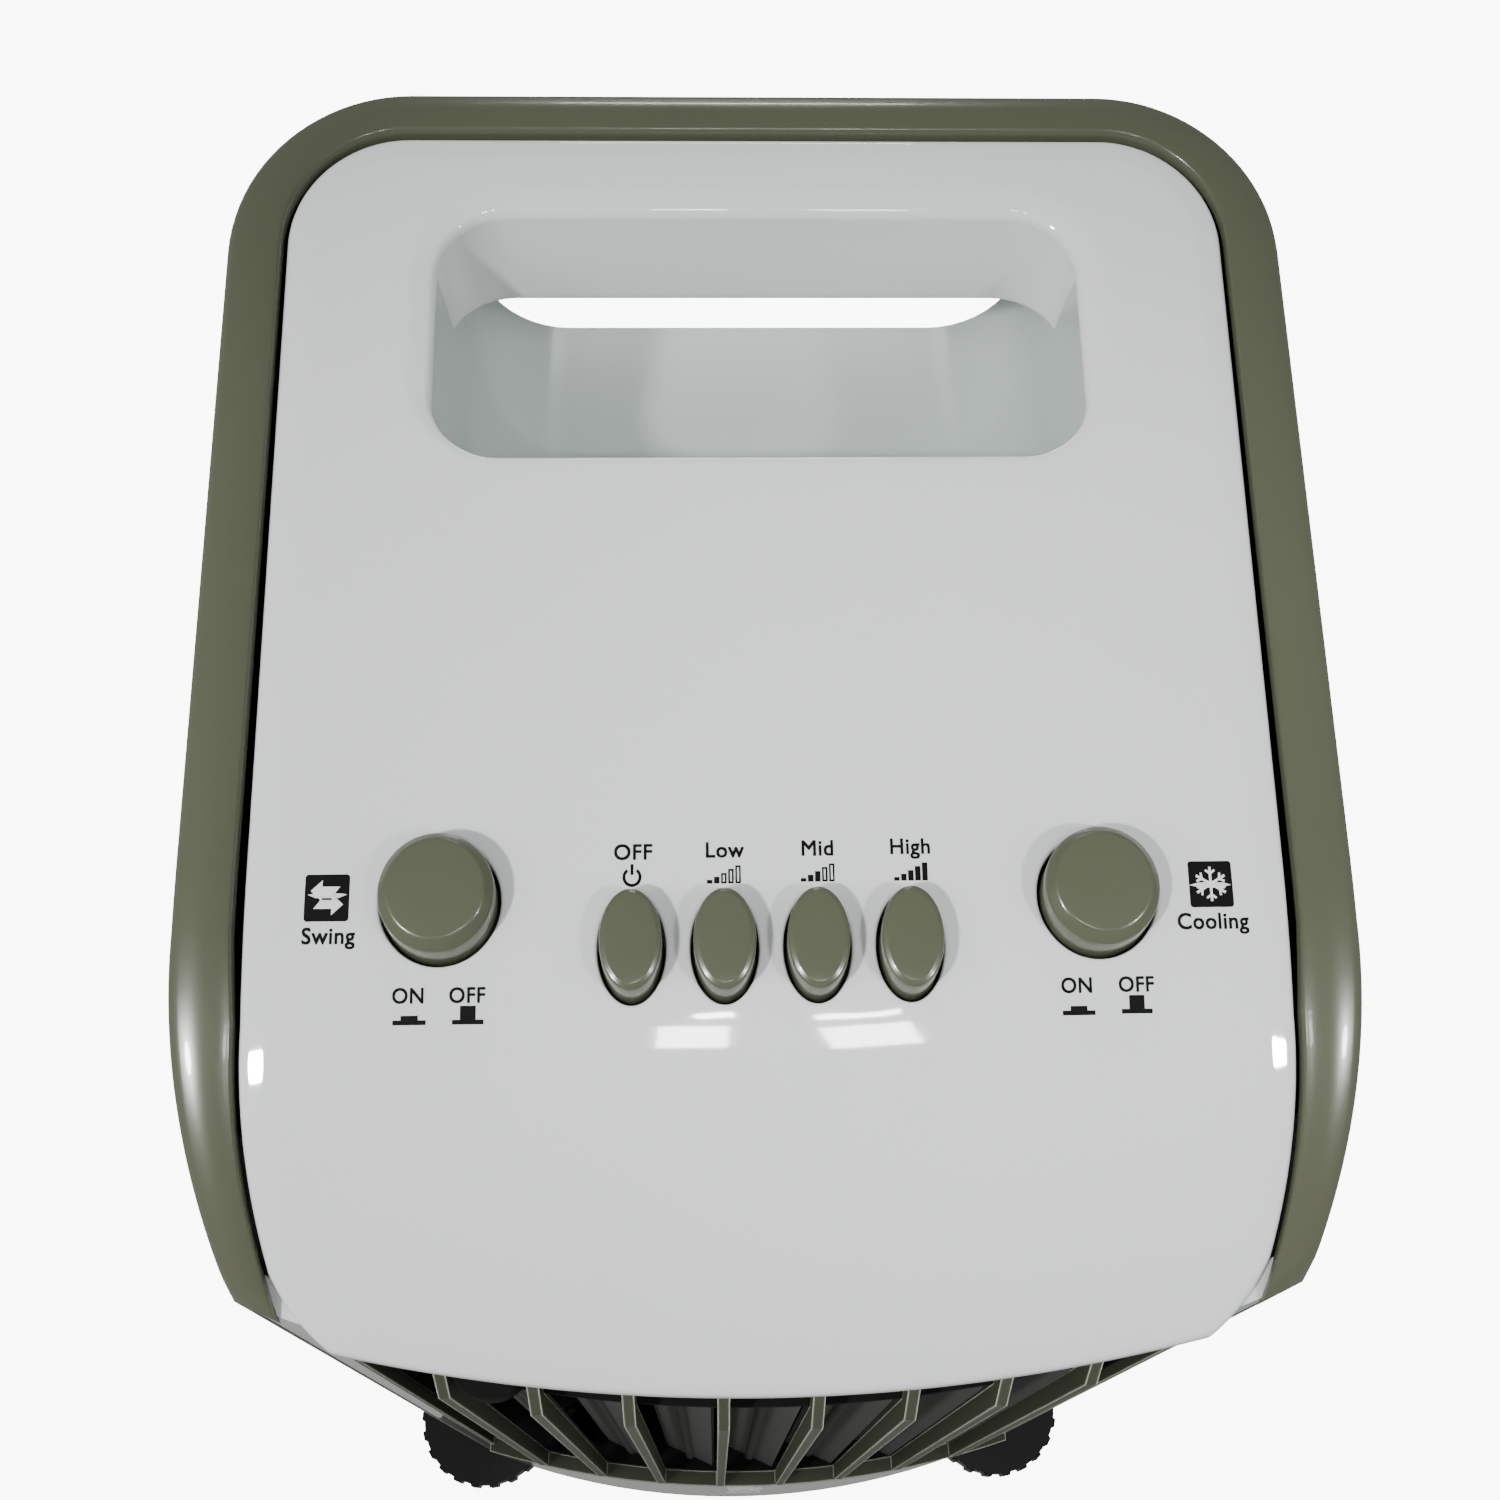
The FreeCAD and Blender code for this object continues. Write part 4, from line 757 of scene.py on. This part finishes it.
for name, x in zip(("off", "low", "mid", "high"), KEY_X):
    cap = push_cap("cap_" + name, (x, KEY_Y), KEY_HALF[0], KEY_HALF[1], 6.6, 0.55, 80, "key_" + name)
    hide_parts("key_" + name)
for name, side in (("swing", -1), ("cooling", 1)):
    cap = push_cap("cap_" + name, (side * BUTTON[0], BUTTON[1]), BUTTON_R, BUTTON_R, 7.6, 1.7, 96,
                   name + "_button")
    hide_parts(name + "_button")


# --- printed marks ---------------------------------------------------------------------------

PRINT = 0.05


def stamp(name, verts, faces, material=INK, lift=0.0):
    """A thin printed shape laid on the roof surface: points are x, y in the plan."""
    count = len(verts)
    low = [(x, y, float(roof(y)) + lift - 0.02) for x, y in verts]
    high = [(x, y, float(roof(y)) + lift + PRINT) for x, y in verts]
    used = set()
    for f in faces:
        for i in range(len(f)):
            used.add((f[i], f[(i + 1) % len(f)]))
    walls = [(a, b, b + count, a + count) for a, b in used if (b, a) not in used]
    all_faces = [tuple(i + count for i in f) for f in faces] + [tuple(f[::-1]) for f in faces] + walls
    obj = piece(name, low + high, all_faces, material, sharp=30)
    fix_normals(obj)
    return obj


def word(name, text, centre, size):
    """A generic word in the plain built-in typeface."""
    curve = bpy.data.curves.new(name, "FONT")
    curve.body = text
    curve.size = size
    curve.align_x, curve.align_y = "CENTER", "CENTER"
    curve.space_character = 1.06
    curve.resolution_u = 4
    holder = bpy.data.objects.new(name, curve)
    bpy.context.scene.collection.objects.link(holder)
    bpy.context.view_layer.update()
    mesh = bpy.data.meshes.new_from_object(holder.evaluated_get(bpy.context.evaluated_depsgraph_get()))
    bpy.data.objects.remove(holder)
    for layer, (dx, dy) in enumerate(((-1, -1), (1, -1), (1, 1), (-1, 1))):
        spread = size * 0.018
        verts = [(v.co.x + centre[0] + dx * spread, v.co.y + centre[1] + dy * spread) for v in mesh.vertices]
        stamp("%s_%d" % (name, layer), verts, [tuple(p.vertices) for p in mesh.polygons], lift=0.02 * layer)


WORDS = [("off", "OFF", (-31.2, -44.2), 4.9), ("low", "Low", (-10.4, -43.9), 4.9),
         ("mid", "Mid", (10.9, -43.7), 4.9),
         ("high", "High", (32.2, -43.5), 4.9), ("swing", "Swing", (-99.4, -61.8), 4.9),
         ("cooling", "Cooling", (100.8, -60.8), 4.9), ("swing_on", "ON", (-81.2, -74.5), 4.5),
         ("swing_off", "OFF", (-68.1, -74.5), 4.5), ("cooling_on", "ON", (68.9, -74.1), 4.5),
         ("cooling_off", "OFF", (82.4, -74.0), 4.5)]
for name, text, centre, size in WORDS:
    word("word_" + name, text, centre, size)


def mark(name, shapes, centre, material=INK, lift=0.0):
    """A printed glyph made of flat outlines round its centre."""
    verts, faces = [], []
    for shape in shapes:
        faces.append(tuple(range(len(verts), len(verts) + len(shape))))
        verts += [(x + centre[0], y + centre[1]) for x, y in shape]
    stamp(name, verts, faces, material, lift)


def bar(x, y, wide, tall):
    return [(x, y), (x + wide, y), (x + wide, y + tall), (x, y + tall)]


def frame_bar(x, y, wide, tall, pen):
    return [bar(x, y, wide, pen), bar(x, y + tall - pen, wide, pen), bar(x, y + pen, pen, tall - 2 * pen),
            bar(x + wide - pen, y + pen, pen, tall - 2 * pen)]


def turned(shape, angle):
    cosine, sine = math.cos(angle), math.sin(angle)
    return [(x * cosine - y * sine, x * sine + y * cosine) for x, y in shape]


def ladder(filled):
    """Five rising bars; the first ones are filled."""
    shapes = []
    for index, tall in enumerate((0.8, 1.5, 2.3, 3.2, 4.0)):
        x = -3.9 + index * 1.62
        shapes += [bar(x, -1.9, 1.25, tall)] if index < filled else frame_bar(x, -1.9, 1.25, tall, 0.4)
    return shapes


def power():
    shapes = [bar(-0.35, 0.2, 0.7, 2.4)]
    for index in range(14):
        angles = [math.radians(125 + 290 / 14 * (index + k)) for k in (0, 1)]
        shapes.append([(r * math.cos(a), r * math.sin(a) - 0.3) for r, a in
                       ((1.5, angles[0]), (2.2, angles[0]), (2.2, angles[1]), (1.5, angles[1]))])
    return shapes


def snowflake():
    shapes = []
    for arm in range(6):
        angle = arm * math.pi / 3 + math.pi / 6
        shapes.append(turned(bar(0.5, -0.28, 3.3, 0.56), angle))
        for side in (-1, 1):
            branch = [(x + 2.3, y) for x, y in turned(bar(0, -0.24, 1.35, 0.48), side * math.pi / 3.4)]
            shapes.append(turned(branch, angle))
    shapes.append([(0.75 * math.cos(k * math.pi / 3), 0.75 * math.sin(k * math.pi / 3)) for k in range(6)])
    return shapes


WING_X, WING_Y = 128.0, 114.0         # middle of each round wing of the base
TREAD_COUNT = 22
TREAD_LOW, TREAD_HIGH = 50.6, 60.9
TREAD_ROOT, TREAD_TIP = (30.5, 2.9), (33.2, 1.9)   # distance from the middle and half width


def tread():
    """Small blocks round the outward side of each wing of the base."""
    root, tip = TREAD_ROOT, TREAD_TIP
    section = (root, tip, (tip[0], -tip[1]), (root[0], -root[1]))
    for sx, sy in ((-1, -1), (-1, 1), (1, -1), (1, 1)):
        centre = np.array([sx * WING_X, sy * WING_Y])
        verts, faces = [], []
        for tooth in range(TREAD_COUNT):
            turn = 2 * math.pi * tooth / TREAD_COUNT
            along = np.array([math.cos(turn), math.sin(turn)])
            across = np.array([-math.sin(turn), math.cos(turn)])
            if along[0] * sx + along[1] * sy < 0.1:
                continue
            first = len(verts)
            for z in (TREAD_LOW, TREAD_HIGH):
                for far, wide in section:
                    verts.append((*(centre + along * far + across * wide), z))
            faces += [(first + 3, first + 2, first + 1, first), tuple(range(first + 4, first + 8))]
            faces += [(first + k, first + (k + 1) % 4, first + 4 + (k + 1) % 4, first + 4 + k)
                      for k in range(4)]
        obj = piece("tread_%d_%d" % (sx + 1, sy + 1), verts, faces, BLACK)
        fix_normals(obj)


ARROW = [(-3.7, 1.5), (-1.1, 3.8), (-1.1, 2.4), (2.9, 2.4), (1.4, 0.5), (-1.1, 0.5), (-1.1, -0.8)]
TILE = [tuple(p) for p in rounded(5.0, -5.1, 5.1, 0.7, steps=4, straight=2)]
mark("tile_swing", [TILE], (-100.0, -53.4))
mark("arrows", [ARROW, turned(ARROW, math.pi)], (-100.0, -53.4), INK_WHITE, 0.08)
mark("tile_cooling", [TILE], (101.0, -52.5))
mark("snowflake", snowflake(), (101.0, -52.5), INK_WHITE, 0.08)
mark("power", power(), (-31.4, -49.3))
for name, filled, centre in (("low", 2, (-10.5, -49.3)), ("mid", 3, (10.9, -49.1)),
                             ("high", 5, (32.2, -49.1))):
    mark("ladder_" + name, ladder(filled), centre)
for name, centre in (("swing", (-80.9, -79.4)), ("cooling", (69.2, -79.2))):
    mark("pressed_" + name, [bar(-3.7, -0.9, 7.4, 0.95), bar(-1.9, 0.0, 3.8, 1.0)], centre)
for name, centre in (("swing", (-67.9, -78.8)), ("cooling", (82.4, -78.4))):
    mark("raised_" + name, [bar(-3.5, -1.5, 7.0, 0.95), bar(-1.75, -0.6, 3.5, 2.9)], centre)

tread()

# --- outlet grille -------------------------------------------------------------------------------

# Ribs in a darker copy of the trim olive as painted shade inside the grille, with a painted highlight colour
# on their corners.
dress("front_grille", paint_edge_highlight("rib_olive_painted_highlight", (0.055, 0.060, 0.038), (0.55, 0.56, 0.46), 0.0008, 0.45), 0.35)

# --- camera, lights and floor -----------------------------------------------------------------------

def light(name, place, aim, power, size, size_y=None, colour=(1, 1, 1)):
    lamp = bpy.data.lights.new(name, "AREA")
    lamp.energy = power
    lamp.color = colour
    lamp.size = size
    if size_y:
        lamp.shape = "RECTANGLE"
        lamp.size_y = size_y
    obj = bpy.data.objects.new(name, lamp)
    bpy.context.scene.collection.objects.link(obj)
    obj.location = place
    obj.rotation_euler = (Vector(aim) - Vector(place)).to_track_quat("-Z", "Y").to_euler()
    return obj


def beam(name, place, aim, power, reach):
    """A soft-edged spot that lights the controls around its aim and throws their shadows aside."""
    lamp = bpy.data.lights.new(name, "SPOT")
    lamp.energy = power
    lamp.shadow_soft_size = 0.06
    lamp.spot_size = 2 * math.atan(reach / (Vector(aim) - Vector(place)).length)
    lamp.spot_blend = 1.0
    obj = bpy.data.objects.new(name, lamp)
    bpy.context.scene.collection.objects.link(obj)
    obj.location = place
    obj.rotation_euler = (Vector(aim) - Vector(place)).to_track_quat("-Z", "Y").to_euler()


camera_data = bpy.data.cameras.new("camera")
camera_data.lens = 36
camera_data.sensor_width = 36
camera_data.clip_start = 0.01
camera = bpy.data.objects.new("camera", camera_data)
bpy.context.scene.collection.objects.link(camera)
camera.location = (-0.0139, -0.1897, 0.892)
camera.rotation_euler = [math.radians(a) for a in (28.957, -1.170, -1.2)]
bpy.context.scene.camera = camera

floor_mesh = bpy.data.meshes.new("floor")
floor_mesh.from_pydata([(-4, -4, 0), (4, -4, 0), (4, 4, 0), (-4, 4, 0)], [], [(0, 1, 2, 3)])
floor_obj = bpy.data.objects.new("floor", floor_mesh)
bpy.context.scene.collection.objects.link(floor_obj)
FLOOR = plastic("floor_white", (0.93, 0.93, 0.92), 0.7, 60, 0.02, tint=0.01)
floor_shader = FLOOR.node_tree.nodes["Principled BSDF"]
floor_shader.inputs["Emission Color"].default_value = (1, 1, 0.985, 1)
floor_shader.inputs["Emission Strength"].default_value = 9.0
floor_mesh.materials.append(FLOOR)
floor_obj.visible_diffuse = False
floor_obj.visible_glossy = False

world = bpy.data.worlds.new("studio")
world.use_nodes = True
tree = world.node_tree
where = tree.nodes.new("ShaderNodeTexCoord")
split = tree.nodes.new("ShaderNodeSeparateXYZ")
ramp = tree.nodes.new("ShaderNodeValToRGB")
ramp.color_ramp.elements[0].position, ramp.color_ramp.elements[1].position = 0.0, 1.0
ramp.color_ramp.elements[0].color = (1.0, 1.0, 0.97, 1)
ramp.color_ramp.elements[1].color = (0.60, 0.64, 0.66, 1)
tree.links.new(where.outputs["Generated"], split.inputs["Vector"])
tree.links.new(split.outputs["Z"], ramp.inputs["Fac"])
tree.links.new(ramp.outputs["Color"], tree.nodes["Background"].inputs["Color"])
tree.nodes["Background"].inputs["Strength"].default_value = 0.33
bpy.context.scene.world = world
light("window_left", (-0.039, -0.948, 2.146), (-0.015, -0.0835, 0.5676), 1.8, 0.10, 0.10)
light("window_left_top", (-0.008, -0.866, 2.190), (-0.015, -0.0835, 0.5676), 0.35, 0.057, 0.02)
light("window_right", (0.211, -0.946, 2.136), (0.023, -0.0836, 0.5675), 2.2, 0.13, 0.10)
light("window_right_top", (0.191, -0.866, 2.180), (0.023, -0.0836, 0.5675), 0.6, 0.117, 0.02)
light("rear_strip", (0.02, 1.07, 1.38), (0, 0.15, 0.61), 2.5, 0.35, 0.05)
beam("beam_left", (-0.85, -0.72, 1.55), (-0.04, -0.06, 0.59), 74, 0.34)
beam("beam_right", (0.95, -0.72, 1.55), (0.12, -0.06, 0.59), 46, 0.2)
for side, power in ((-1, 9), (1, 6)):
    fill = light("side_%s" % ("left" if side < 0 else "right"), (1.5 * side, -0.6, 1.4), (0, 0, 0.5), power,
                 0.6)
    fill.visible_glossy = False
